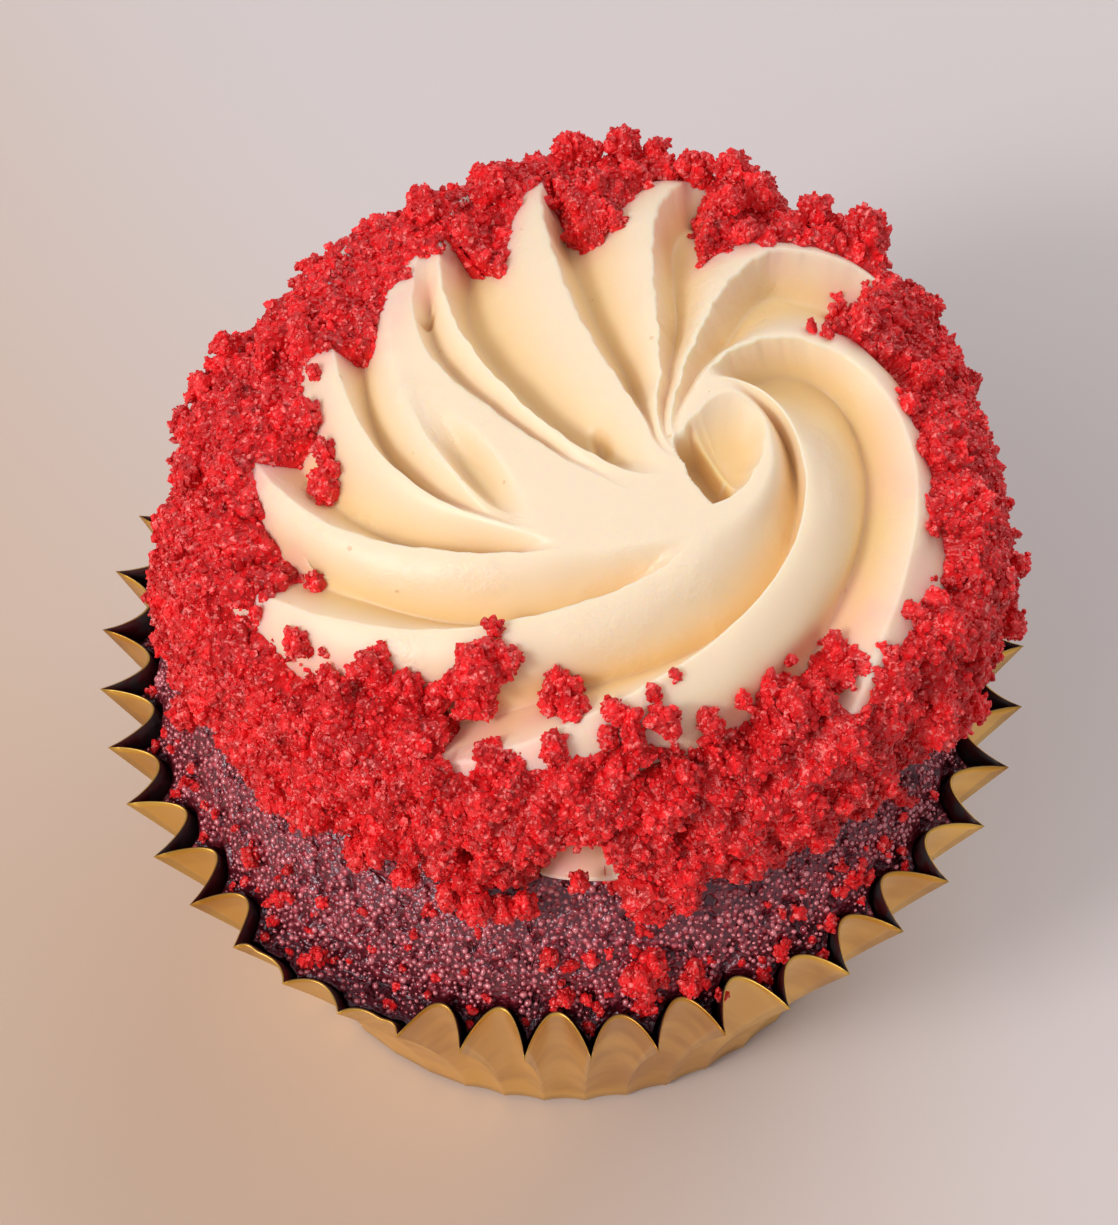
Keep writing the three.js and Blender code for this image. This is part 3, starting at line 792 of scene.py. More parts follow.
@dataclass
class FoilCase:
    """The fluted baking cup, made by a geometry tree from a flat grid."""

    base_radius: float = 25.0 * MM
    rim_radius: float = 35.9 * MM
    height: float = 32.0 * MM
    flutes: int = 44
    first_tip: float = math.radians(151.2)
    base_depth: float = 0.25 * MM
    rim_depth: float = 3.6 * MM
    flare: float = 1.25
    wall: float = 0.22 * MM
    cusp_power: float = 0.82
    jitter: float = 0.35 * MM
    jitter_turns: float = 14.0
    drift: float = math.radians(2.4)
    drift_bearing: float = math.radians(205)
    pressed_bearing: float = math.radians(-122)
    pressed_span: float = math.radians(14)
    pressed_depth: float = 0.3
    steps_per_flute: int = 20
    profile_steps: int = 70
    weld: float = 0.004 * MM
    floor_share: float = 0.08
    cut_share: float = 0.008

    def tree(self) -> tuple[bpy.types.NodeTree, dict[str, float]]:
        """Build the geometry tree.

        Returns:
            The tree, and the value of each of its named inputs.
        """
        group = bpy.data.node_groups.new("fluted_case", "GeometryNodeTree")
        sizes = {
            "Base Radius": self.base_radius,
            "Rim Radius": self.rim_radius,
            "Height": self.height,
            "Base Depth": self.base_depth,
            "Rim Depth": self.rim_depth,
            "Flare": self.flare,
            "Wall": self.wall,
            "Cusp Power": self.cusp_power,
        }
        for label in sizes:
            group.interface.new_socket(label, in_out="INPUT", socket_type="NodeSocketFloat")
        group.interface.new_socket("Geometry", in_out="OUTPUT", socket_type="NodeSocketGeometry")
        t = Tree(group)
        size = t.node("NodeGroupInput").outputs
        columns = self.flutes * self.steps_per_flute + 1
        grid = t.node(
            "GeometryNodeMeshGrid",
            {"Size X": 1.0, "Size Y": 1.0, "Vertices X": columns, "Vertices Y": self.profile_steps},
        )
        place = t.node("ShaderNodeSeparateXYZ", {0: t.node("GeometryNodeInputPosition").outputs[0]}).outputs
        around = t.math("ADD", place["X"], 0.5)
        along = t.math("ADD", place["Y"], 0.5)

        # Along the profile: floor, outer wall, cut edge, inner wall, floor.
        wall_share = 0.5 - self.floor_share - self.cut_share
        from_edge = t.math("ABSOLUTE", t.math("SUBTRACT", along, 0.5))
        fall = t.math("DIVIDE", t.math("SUBTRACT", from_edge, self.cut_share), wall_share, clamp=True)
        rise = t.math("SUBTRACT", 1.0, fall)
        end = t.math("MINIMUM", along, t.math("SUBTRACT", 1.0, along))
        width = t.math("DIVIDE", end, self.floor_share, clamp=True)
        inner = t.ramp(along, 0.5 - self.cut_share, 0.5 + self.cut_share)
        swell = t.math("POWER", rise, size["Flare"])

        # Round the case: flutes drift a little, and one stretch is pressed nearly flat.
        even = t.math("ADD", t.math("MULTIPLY", around, 2 * math.pi), self.first_tip)
        wave = t.math("COSINE", t.math("MULTIPLY", t.math("SUBTRACT", even, self.drift_bearing), 2.0))
        turn = t.math("ADD", even, t.math("MULTIPLY", wave, self.drift))
        f = t.math("FRACT", t.math("MULTIPLY", around, self.flutes))
        arch = t.math("MULTIPLY", t.math("MULTIPLY", f, t.math("SUBTRACT", 1.0, f)), 4.0)
        tipness = t.math("SUBTRACT", 1.0, t.math("POWER", arch, size["Cusp Power"]))
        beside = t.math("SUBTRACT", turn, self.pressed_bearing)
        away = t.math("ABSOLUTE", t.math("WRAP", beside, math.pi, -math.pi))
        pressed = t.blend(t.ramp(away, 0.6 * self.pressed_span, self.pressed_span), self.pressed_depth, 1.0)
        ripple = t.math("SINE", t.math("MULTIPLY", turn, self.jitter_turns))
        uneven = t.math("MULTIPLY", t.math("MULTIPLY", ripple, swell), self.jitter)
        plain_depth = t.math("MULTIPLY", t.blend(swell, size["Base Depth"], size["Rim Depth"]), pressed)
        depth = t.math("ADD", plain_depth, uneven)

        reach = t.blend(swell, size["Base Radius"], size["Rim Radius"])
        fluted = t.math("SUBTRACT", reach, t.math("MULTIPLY", depth, t.math("SUBTRACT", 1.0, tipness)))
        thinned = t.math("SUBTRACT", fluted, t.math("MULTIPLY", inner, size["Wall"]))
        radius = t.math("MULTIPLY", thinned, width)
        floor = t.math("MULTIPLY", t.math("MULTIPLY", inner, size["Wall"]), fall)
        level = t.math("ADD", t.math("MULTIPLY", rise, size["Height"]), floor)
        x = t.math("MULTIPLY", radius, t.math("COSINE", turn))
        y = t.math("MULTIPLY", radius, t.math("SINE", turn))
        point = t.node("ShaderNodeCombineXYZ", {"X": x, "Y": y, "Z": level}).outputs[0]

        marked = t.keep(grid.outputs[0], "inside", inner)
        bent = t.node("GeometryNodeSetPosition", {"Geometry": marked, "Position": point})
        closed = t.node("GeometryNodeMergeByDistance", {"Geometry": bent.outputs[0], "Distance": self.weld})
        smooth = t.node("GeometryNodeSetShadeSmooth", {"Geometry": closed.outputs[0]})
        t.realized(smooth.outputs[0], FoilFinish().material())
        return group, sizes

    def build(self) -> bpy.types.Object:
        """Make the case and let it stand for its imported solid.

        Returns:
            The case.
        """
        group, sizes = self.tree()
        carrier = mesh_object("case_carrier", np.zeros((1, 3)), [], True)
        carrier.data.materials.append(FoilFinish().material())
        add_tree(carrier, group, sizes)
        made = plain_copy(carrier, "foil_case")
        turn_outwards(made)
        return dress(made, "foil", "case")


def add_tree(carrier: bpy.types.Object, group: bpy.types.NodeTree, values: dict[str, Any]) -> None:
    """Put a geometry tree on an object and set its inputs by identifier.

    Args:
        carrier: The object to put it on.
        group: The geometry tree.
        values: The value of each named input.
    """
    modifier = carrier.modifiers.new(group.name, "NODES")
    modifier.node_group = group
    for item in group.interface.items_tree:
        if item.item_type == "SOCKET" and item.in_out == "INPUT" and item.name in values:
            modifier[item.identifier] = values[item.name]


def turn_outwards(made: bpy.types.Object) -> None:
    """Make every face of a closed mesh point outwards.

    Args:
        made: The object whose mesh is turned.
    """
    shape = bmesh.new()
    shape.from_mesh(made.data)
    bmesh.ops.recalc_face_normals(shape, faces=shape.faces)
    shape.to_mesh(made.data)
    shape.free()


def dress(made: bpy.types.Object, slot: str, *nodes: str) -> bpy.types.Object:
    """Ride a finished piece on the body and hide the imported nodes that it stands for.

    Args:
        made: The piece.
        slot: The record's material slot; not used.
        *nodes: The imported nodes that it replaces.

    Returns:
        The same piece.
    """
    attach(made, BODY)
    if nodes:
        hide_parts(*nodes)
    log.info("%s: %d faces", made.name, len(made.data.polygons))
    return made


# ---------------------------------------------------------------------- the sponge


@dataclass
class Sponge:
    """The cake in the case, domed above the rim and knobbly on top."""

    case: FoilCase
    gap: float = 0.06 * MM
    flute_share: float = 0.62
    edge_z: float = 30.3 * MM
    edge_radius: float = 31.9 * MM
    dome_height: float = 13.0 * MM
    dome_power: float = 4.0
    dome_round: float = 0.75
    pit: float = 0.45 * MM
    pit_size: float = 1.1 * MM
    sunk: float = 0.1 * MM
    bare_share: float = 0.985
    knob_spacing: float = 0.42 * MM
    smallest_knob: float = 0.16 * MM
    largest_knob: float = 0.40 * MM
    knob_sink: float = 0.35
    swell: float = 0.3 * MM
    swell_size: float = 6.0 * MM
    pore_edge: tuple[float, float] = (0.28, 0.46)
    knob_edge: tuple[float, float] = (-1.5 * MM, -0.5 * MM)
    knob_corners: tuple[float, float] = (0.8, 1.15)
    knob_shapes: int = 9
    lean_zone: tuple[float, float] = (28.0 * MM, 31.0 * MM)
    # Heights over which the painted rim shade fades out.
    painted_rim_shade: tuple[float, float] = (30.2 * MM, 33.0 * MM)
    wall_levels: tuple[float, ...] = (6 * MM, 12 * MM, 18 * MM, 24 * MM, 28 * MM)
    inner_shares: tuple[float, ...] = (0.6, 0.3)
    fine_share: float = 0.74
    fine_rings: int = 62
    skin_share: float = 0.78
    skin_rings: int = 26
    around: int = 1056

    def dome_z(self, radius: Array) -> Array:
        """Height of the smooth dome at a distance from the middle."""
        share = np.clip(radius / self.edge_radius, 0.0, 1.0) ** self.dome_power
        return self.edge_z + self.dome_height * (1.0 - share) ** self.dome_round

    def swell_at(self, points: Array) -> Array:
        """How far the dome's surface rises or sinks at each point."""
        return self.swell * noise_at(points, self.swell_size, 3.0)

    def pits_at(self, points: Array) -> Array:
        """Where the skin has open pores: 1 in a pore, 0 away from them."""
        wide = noise_at(points, self.pit_size, 7.0) + 0.5 * noise_at(points, 0.5 * self.pit_size, 2.0)
        return smoothstep(*self.pore_edge, wide)

    def outline(self, z: float) -> tuple[Array, Array]:
        """The fluted outline at a height, just inside the foil.

        Args:
            z: The height.

        Returns:
            The bearing and the radius of each point.
        """
        case = self.case
        share = np.arange(self.around) / self.around
        even = case.first_tip + 2 * math.pi * share
        turn = even + case.drift * np.cos(2 * (even - case.drift_bearing))
        f = (share * case.flutes) % 1.0
        tipness = 1.0 - (4.0 * f * (1.0 - f)) ** case.cusp_power
        away = np.abs((turn - case.pressed_bearing + math.pi) % (2 * math.pi) - math.pi)
        pressed = mix(case.pressed_depth, 1.0, smoothstep(0.6 * case.pressed_span, case.pressed_span, away))
        swell = (z / case.height) ** case.flare
        uneven = case.jitter * np.sin(case.jitter_turns * turn) * swell
        depth = mix(case.base_depth, case.rim_depth, swell) * pressed + uneven
        reach = mix(case.base_radius, case.rim_radius, swell)
        radius = reach - depth * (1.0 - self.flute_share * tipness) - case.wall - self.gap
        return turn, radius

    def build(self) -> bpy.types.Object:
        """Make the sponge.

        Returns:
            The sponge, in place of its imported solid.
        """
        floor = self.case.wall + self.gap
        rings = []
        for z in (floor, *self.wall_levels):
            turn, radius = self.outline(z)
            rings.append(ring_points(radius, turn, np.full_like(turn, z)))
        walls = len(rings)
        turn, edge = self.outline(self.edge_z)
        fine = np.linspace(1.0, self.fine_share, self.fine_rings)
        shares = np.concatenate([fine, self.inner_shares])
        for share in shares:
            rings.append(ring_points(edge * share, turn, self.dome_z(edge * share)))
        grid = np.concatenate(rings)
        sunk = self.sunk + self.pit * self.pits_at(grid)
        radius = np.hypot(grid[:, 0], grid[:, 1])
        on_dome = np.repeat([0.0] * walls + [1.0] * len(shares), self.around)
        lean = on_dome * smoothstep(*self.lean_zone, radius) * sunk / radius
        grid[:, 2] += on_dome * (self.swell_at(grid) - sunk)
        grid[:, 0] -= lean * grid[:, 0]
        grid[:, 1] -= lean * grid[:, 1]
        top = [0.0, 0.0, float(self.dome_z(np.zeros(1))[0])]
        vertices = np.concatenate([[[0.0, 0.0, floor]], grid, [top]])
        made = mesh_object("sponge_cake", vertices, ring_faces(len(rings), self.around), True)
        # Painted shade: full below the case's rim, fading out above it.
        rim = np.concatenate([[0.0], 1.0 - smoothstep(*self.painted_rim_shade, grid[:, 2]), [0.0]])
        store(made.data, "rim", rim)
        made.data.materials.append(SpongeFinish().material())
        return dress(made, "sponge", "cake")

    def bare_skin(self, name: str) -> bpy.types.Object:
        """The part of the dome that the cream leaves bare, as a skin to scatter over.

        Args:
            name: Its name.

        Returns:
            The skin.
        """
        turn, edge = self.outline(self.edge_z)
        shares = np.linspace(self.skin_share, self.bare_share, self.skin_rings)
        rings = [ring_points(edge * share, turn, self.dome_z(edge * share)) for share in shares]
        points = np.concatenate(rings)
        faces = band_faces([(ring, ring + 1) for ring in range(len(shares) - 1)], self.around)
        points[:, 2] += self.swell_at(points)
        made = mesh_object(name, points, faces, True)
        made.data.materials.append(SpongeFinish().material())
        return made

    def knobs(self, past_coat: Callable[[Array, Array], Array]) -> bpy.types.Object:
        """The glossy grains of the baked skin, scattered over the bare dome.

        Args:
            past_coat: How far outside the crumb coat's foot a place on the dome lies, in metres.

        Returns:
            The grains, as one piece.
        """
        skin = self.bare_skin("skin_sponge_knobs")
        points = coordinates(skin)
        free = smoothstep(*self.knob_edge, past_coat(points[:, 0], points[:, 1]))
        store(skin.data, "cover", free * (1.0 - self.pits_at(points)))
        draw = random.Random(SEED)
        names = [f"sponge_knob_{i}" for i in range(self.knob_shapes)]
        shapes = [grain_mesh(name, GrainShape.CHUNK, draw, *self.knob_corners) for name in names]
        sizes = (self.knob_spacing, self.smallest_knob, self.largest_knob, self.knob_sink)
        scatter = Scatter("sponge_knobs", *sizes, KNOB_SEED, KnobFinish(), True)
        return dress(scatter.over(skin, shapes), "sponge")


# ---------------------------------------------------------------------- the cream swirl


@dataclass(frozen=True)
class Ridge:
    """One piped ridge: its bearing in degrees at each station, and the valley on its clockwise side."""

    bearings: tuple[float, ...]
    depth: float
    start: float
    lines: int
    ease: float = 0.14
    end: float = 9.0


STATIONS = (0.1, 0.18, 0.25, 0.4, 0.6, 0.8, 1.0)

RIDGES = (
    Ridge((174, 137, 126, 116, 107, 101, 96), 2.9 * MM, 0.07, 40),
    Ridge((158, 120, 100, 87, 81, 77, 72), 2.8 * MM, 0.07, 40),
    Ridge((142, 103, 86, 69, 59, 51, 38), 2.8 * MM, 0.08, 44),
    Ridge((124, 89, 72, 51, 30, 7, -40), 3.2 * MM, 0.25, 60, 0.1),
    Ridge((100, 76, 62, -8, -49, -80, -104), 2.9 * MM, 0.24, 54, 0.12),
    Ridge((-42, -60, -76, -87, -108, -127, -151), 2.6 * MM, 0.29, 44, 0.2),
    Ridge((-60, -72, -84, -119, -139, -158, -186), 2.5 * MM, 0.42, 40, 0.12),
    Ridge((-78, -88, -100, -130, -163, -201, -224), 2.3 * MM, 0.41, 40, 0.22),
    Ridge((-96, -106, -116, -137, -189, -226, -249), 0.5 * MM, 0.4, 26, 0.14, 0.66),
    Ridge((-116, -130, -160, -188, -206, -230, -250.5), 1.7 * MM, 0.17, 26, 0.2, 0.84),
    Ridge((-150, -160, -177, -200, -219, -236, -252), 2.8 * MM, 0.1, 40),
)


@dataclass(frozen=True)
class Dent:
    """A small hollow in the cream: its place in millimetres, the bearing of its length and its size."""

    x: float
    y: float
    bearing: float
    length: float
    width: float
    depth: float


DENTS = (
    Dent(-5.6, -2.4, -59, 6.4, 1.75, 1.35),
    Dent(-3.1, -6.5, -59, 0.9, 0.6, 0.4),
    Dent(3.3, 0.1, -62, 1.5, 0.75, 0.8),
    Dent(-9.3, 12.2, 55, 1.5, 0.5, 0.6),
    Dent(-18.6, -8.4, -60, 1.0, 0.5, 0.8),
)

# The pit's rim: bearing about its middle, reach in millimetres and how abruptly the wall drops.
PIT_RIM = (
    (-180, 3.3, 8.0), (-150, 3.0, 8.0), (-116, 3.9, 7.0), (-100, 4.8, 5.0), (-76, 3.8, 3.5), (-38, 2.8, 3.0),
    (11, 3.1, 2.6), (40, 4.2, 2.0), (63, 5.0, 1.5), (77, 5.0, 1.4), (91, 4.5, 1.4), (115, 3.3, 1.8),
    (151, 2.9, 4.0), (168, 3.4, 7.0), (180, 3.3, 8.0),
)


@dataclass
class Swirl:
    """The rosette: ridges that spiral out of an off-centre pit and over the shoulder."""

    sponge: Sponge
    ring: tuple[float, float] = (2.4 * MM, 2.5 * MM)
    pit: tuple[float, float] = (11.8 * MM, -3.3 * MM)
    shoulder_radius: float = 26.0 * MM
    belly_radius: float = 29.6 * MM
    belly_z: float = 46.0 * MM
    top_height: float = 13.0 * MM
    roundness: float = 2.5
    drift: float = 1.4
    shoulder_slope: float = 62.0
    foot_radius: float = 27.4 * MM
    under_gap: float = 0.3 * MM
    steep_width: float = 1.7 * MM
    side_curl: float = 60.0
    pit_middle: tuple[float, float] = (11.6 * MM, -1.4 * MM)
    bowl_depth: float = 2.3 * MM
    cleft_depth: float = 1.5 * MM
    lip_start: tuple[float, float] = (10.4 * MM, -0.5 * MM)
    lip_bearing: float = math.radians(-62)
    lip_height: float = 0.35 * MM
    lip_width: float = 0.35 * MM
    flank_power: float = 1.35
    torn: float = 0.06 * MM
    torn_reach: float = 0.6 * MM
    full_width: float = 3.2 * MM
    wall_power: float = 1.5
    valley_close: float = 0.14
    lowest_foot: float = 32.6 * MM
    slope_start: float = 0.55
    soft: float = 0.12 * MM
    soft_size: float = 3.5 * MM
    # Depths of valley and hollow at which the painted shade is full.
    full_shade_valley_depth: float = 2.6 * MM
    full_shade_hollow_depth: float = 1.9 * MM
    # Where the pink of crumb dye and painted red bounce light fades in.
    dye_and_painted_bounce_edge: tuple[float, float] = (-3.2 * MM, 0.4 * MM)
    pit_shares: tuple[float, float] = (0.01, 0.22)
    outer_shares: tuple[float, float] = (0.227, 0.99)
    pit_rings: int = 44
    top_rings: int = 130
    side_rings: int = 44

    def centre(self, share: Array) -> tuple[Array, Array]:
        """Centre of the nested circle at a share of the shoulder radius."""
        t = 1.0 - (1.0 - np.clip(share, 0.0, 1.0)) ** self.drift
        return mix(self.pit[0], self.ring[0], t), mix(self.pit[1], self.ring[1], t)

    def ridge_bearing(self, k: int, share: Array) -> Array:
        """Bearing of a ridge, counted on past the last so that turns stay in order.

        Args:
            k: The ridge's number.
            share: From the pit (0) to the foot (2).

        Returns:
            The bearing at each share, in degrees.
        """
        turns, row = divmod(k, len(RIDGES))
        beyond = np.maximum(0.0, share - 1.0) * self.side_curl
        return curve_through(STATIONS, RIDGES[row].bearings, share) - 360.0 * turns - beyond

    def torn_edge(self, k: int, share: Array) -> Array:
        """How far a ridge's slightly torn edge strays sideways.

        Args:
            k: The ridge's number.
            share: From the pit (0) to the foot (2).

        Returns:
            The turn at each share, in degrees.
        """
        row = k % len(RIDGES)
        run = share * self.shoulder_radius / MM
        waves = np.sin(2.3 * run + 1.7 * row) + 0.7 * np.sin(4.1 * run + 2.9 * row)
        waves = waves + 0.6 * np.sin(7.3 * run + row)
        return np.degrees(self.torn * waves / (self.shoulder_radius * np.maximum(share, 0.25)))

    def about_ring(self, x: Array, y: Array) -> Array:
        """Bearing about the ring's centre, in degrees."""
        return np.degrees(np.arctan2(y - self.ring[1], x - self.ring[0]))

    def from_ring(self, x: Array, y: Array) -> Array:
        """Distance from the ring's centre."""
        return np.hypot(x - self.ring[0], y - self.ring[1])

    def top_z(self, rho: Array) -> Array:
        """Height of the ridge tops at a distance from the ring's centre."""
        share = np.clip(rho / self.belly_radius, 0.0, 1.0) ** self.roundness
        return self.belly_z + self.top_height * (1.0 - share) ** (1.0 / self.roundness)

    def pit_depth(self, x: Array, y: Array) -> Array:
        """Depth of the pit: a bowl, a thin lip across it, and a deeper cleft on the lip's left.

        Args:
            x: Places across.
            y: Places along.

        Returns:
            The depth at each place.
        """
        dx, dy = x - self.pit_middle[0], y - self.pit_middle[1]
        bearing = np.degrees(np.arctan2(dy, dx))
        rim, power = round_table(PIT_RIM, 1, bearing), round_table(PIT_RIM, 2, bearing) / MM
        share = np.clip(np.hypot(dx, dy) / rim, 0.0, 1.0)
        bowl = self.bowl_depth * (1.0 - share**power)
        c, s = math.cos(self.lip_bearing), math.sin(self.lip_bearing)
        beside = (y - self.lip_start[1]) * c - (x - self.lip_start[0]) * s
        cleft = self.cleft_depth * (1.0 - smoothstep(-1.6 * self.lip_width, 0.0, beside)) * (1.0 - share**4)
        lip = self.lip_height * np.exp(-((beside / self.lip_width) ** 2)) * (1.0 - share**4)
        return bowl + cleft - lip

    def dent_depth(self, x: Array, y: Array) -> Array:
        """Depth of the small hollows.

        Args:
            x: Places across.
            y: Places along.

        Returns:
            The depth at each place.
        """
        depth = np.zeros_like(x)
        for dent in DENTS:
            dx, dy = x - dent.x * MM, y - dent.y * MM
            c, s = math.cos(math.radians(dent.bearing)), math.sin(math.radians(dent.bearing))
            along, across = (dx * c + dy * s) / (dent.length * MM), (dy * c - dx * s) / (dent.width * MM)
            hollow = 1.0 - smoothstep(0.25, 1.0, np.hypot(along, across))
            depth = np.maximum(depth, dent.depth * MM * hollow)
        return depth

    def valley_width(self, start: Array, end: Array, share: Array) -> Array:
        """Distance from a ridge to the next one, whose bearings are given in degrees."""
        return np.radians(start - end) * self.shoulder_radius * np.clip(share, 0.05, 1.0)

    def steep_share(self, width: Array) -> Array:
        """Share of the way across a valley where its steep wall meets its round flank."""
        return np.clip(self.steep_width / np.maximum(width, 0.1 * MM), 0.1, 0.4)

    def valley(self, k: int, fraction: Array, share: Array, width: Array) -> Array:
        """Depth below the ridge tops, on the way from a ridge clockwise to the next.

        Args:
            k: The ridge's number.
            fraction: How far along the way, 0 to 1.
            share: From the pit (0) to the foot (2).
            width: How wide the valley is there.

        Returns:
            The depth at each place.
        """
        row = RIDGES[k]
        steep = self.steep_share(width)
        opened = smoothstep(row.start, row.start + row.ease, share)
        opened = opened * (1.0 - smoothstep(row.end - self.valley_close, row.end, share))
        narrow = np.minimum(1.0, width / self.full_width)
        wall = (1.0 - np.minimum(1.0, fraction / steep)) ** self.wall_power
        rise = np.clip((fraction - steep) / (1.0 - steep), 0.0, 1.0)
        flank = np.sin(0.5 * math.pi * rise) ** self.flank_power
        level = np.where(fraction < steep, wall, flank)
        outward = 0.8 + 0.4 * np.minimum(share, 1.1)
        return row.depth * opened * narrow * outward * (1.0 - level)

    def place(self, share: Array, bearing: Array) -> tuple[Array, Array, Array, Array]:
        """The plain rosette without ridges.

        Args:
            share: From the pit (0) over the shoulder (1) and round the belly to the foot (2).
            bearing: Bearing about the nested circle, in radians.

        Returns:
            x, y, z and the slope of the surface in radians.
        """
        cx, cy = self.centre(share)
        c, s = np.cos(bearing), np.sin(bearing)
        down = np.clip(2.0 * (share - 1.0), 0.0, 1.0)
        fall = np.clip(2.0 * (share - 1.0) - 1.0, 0.0, 1.0)
        belly = mix(self.shoulder_radius, self.belly_radius, np.sin(0.5 * math.pi * down))
        foot = mix(self.foot_radius, self.belly_radius, np.sqrt(1.0 - fall * fall))
        rho = np.where(share <= 1.0, self.shoulder_radius * share, np.where(fall > 0.0, foot, belly))
        x, y = cx + rho * c, cy + rho * s
        hollows = self.pit_depth(x, y) + self.dent_depth(x, y)
        top = self.top_z(self.from_ring(x, y)) - np.where(share <= 1.0, hollows, 0.0)
        foot_reach = np.hypot(cx + self.foot_radius * c, cy + self.foot_radius * s)
        foot_z = np.maximum(self.sponge.dome_z(foot_reach) + self.under_gap, self.lowest_foot)
        z = np.where(fall > 0.0, mix(self.belly_z, foot_z, fall), top)
        slope = np.where(
            share <= 1.0,
            self.shoulder_slope * smoothstep(self.slope_start, 1.0, share),
            mix(self.shoulder_slope, 90.0, down),
        )
        return x, y, z, np.radians(slope)

    def surface(self, shares: Array, lines_of: Callable[[Ridge], int]) -> dict[str, Array]:
        """The ridged surface, with mesh lines along every ridge.

        Args:
            shares: The share of each ring.
            lines_of: How many mesh lines a ridge's valley gets.

        Returns:
            Grids of x, y, z, slope, bearing, share and valley depth; bearings rise along a ring.
        """
        share = shares[:, None]
        columns: list[tuple[Array, ...]] = []
        for k, row in enumerate(RIDGES):
            start, end = self.ridge_bearing(k, share), self.ridge_bearing(k + 1, share)
            width = self.valley_width(start, end, share)
            steep = self.steep_share(width)
            count = lines_of(row)
            walls = count // 3
            step = np.arange(count)[None, :]
            fraction = np.where(
                step < walls, steep * step / walls, steep + (1.0 - steep) * (step - walls) / (count - walls)
            )
            near = np.exp(-fraction * width / self.torn_reach)
            far = np.exp((fraction - 1.0) * width / self.torn_reach)
            torn = near * self.torn_edge(k, share) + far * self.torn_edge(k + 1, share)
            bearing = mix(start, end, fraction) + torn
            depth = self.valley(k, fraction, share, width)
            columns.append((np.radians(bearing), depth))
        bearing = np.concatenate([c[0] for c in columns], axis=1)[:, ::-1]
        depth = np.concatenate([c[1] for c in columns], axis=1)[:, ::-1]
        full = np.broadcast_to(share, bearing.shape)
        x, y, z, slope = self.place(full, bearing)
        return {"x": x, "y": y, "z": z, "slope": slope, "bearing": bearing, "share": full, "depth": depth}

    def depth_at(self, share: Array, bearing: Array) -> Array:
        """Depth of the valleys at any place.

        Args:
            share: From the pit (0) to the foot (2).
            bearing: Bearing about the nested circle, in radians.

        Returns:
            The depth below the ridge tops, in metres.
        """
        depth = np.zeros_like(share)
        top = self.ridge_bearing(0, share)
        at = top - (top - np.degrees(bearing)) % 360.0
        for k in range(len(RIDGES)):
            start, end = self.ridge_bearing(k, share), self.ridge_bearing(k + 1, share)
            width = self.valley_width(start, end, share)
            fraction = np.clip((start - at) / (start - end), 0.0, 1.0)
            here = (at <= start) & (at > end)
            depth = np.where(here, self.valley(k, fraction, share, width), depth)
        return depth

    def build(self, crumbs: "Crumbs") -> bpy.types.Object:
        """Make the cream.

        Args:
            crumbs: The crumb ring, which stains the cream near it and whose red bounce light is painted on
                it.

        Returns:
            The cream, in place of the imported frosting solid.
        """
        outer = np.linspace(*self.outer_shares, self.top_rings - self.pit_rings)
        top = np.concatenate([np.linspace(*self.pit_shares, self.pit_rings), outer])
        side = np.linspace(1.0, 2.0, self.side_rings)
        grid = self.surface(np.concatenate([top, side]), lambda row: row.lines)
        flat = {key: value.ravel() for key, value in grid.items()}
        points = np.stack([flat["x"], flat["y"], flat["z"]], axis=1)
        soft = self.soft * noise_at(points, self.soft_size) * smoothstep(0.1, 0.5, flat["share"])
        push = -flat["depth"] + soft
        push_out(points, push, flat["slope"], flat["bearing"])
        rings, count = grid["x"].shape
        upward = points.reshape(rings, count, 3)[::-1].reshape(-1, 3)
        under = [0.0, 0.0, float(self.sponge.dome_z(np.zeros(1))[0]) + self.under_gap]
        start = self.place(np.zeros(1), np.zeros(1))
        pole = [float(start[0][0]), float(start[1][0]), float(start[2][0])]
        vertices = np.concatenate([[under], upward, [pole]])
        made = mesh_object("cream_swirl", vertices, ring_faces(rings, count), True)
        hollows = self.pit_depth(flat["x"], flat["y"]) + self.dent_depth(flat["x"], flat["y"])
        # Painted shade: how golden the cream is made in its valleys and hollows.
        painted_shade = np.clip(flat["depth"] / self.full_shade_valley_depth + hollows / self.full_shade_hollow_depth, 0.0, 1.0)
        past = crumbs.past_edge(flat["share"], flat["x"], flat["y"])
        # Pink of crumb dye and painted red bounce light near the crumbs' edge.
        stain = smoothstep(*self.dye_and_painted_bounce_edge, past)
        for label, values in (("valley", painted_shade), ("stain", stain)):
            flipped = values.reshape(rings, count)[::-1].ravel()
            store(made.data, label, np.concatenate([[0.0], flipped, [0.0]]))
        made.data.materials.append(CreamFinish().material())
        return dress(made, "frosting", "frosting")


# ---------------------------------------------------------------------- the crumbs


class GrainShape(Enum):
    """How many faces a grain of crumb has."""

    CHUNK = 20
    SHARD = 8


@dataclass(frozen=True)
class ClumpKind:
    """One size of crumb, scattered as a single piece."""

    name: str
    smallest: float
    largest: float
    spacing: float
    levels: int
    sink: float
    seed: int
    near_lone: int
    near_share: float


@dataclass(frozen=True)
class GrainKind:
    """One size of the sharp grains that every crumb is made of."""

    name: str
    smallest: float
    largest: float
    spacing: float
    shape: GrainShape
    seed: int


CLUMP_KINDS = (
    ClumpKind("crumbs_large", 1.2 * MM, 2.1 * MM, 3.7 * MM, 3, 0.3, 11, 1, 0.92),
    ClumpKind("crumbs_middle", 0.55 * MM, 1.05 * MM, 2.2 * MM, 2, 0.1, 12, 4, 0.5),
)
FALLEN_KIND = ClumpKind("crumbs_fallen", 0.25 * MM, 0.8 * MM, 1.2 * MM, 2, -0.1, 14, 0, 0.4)

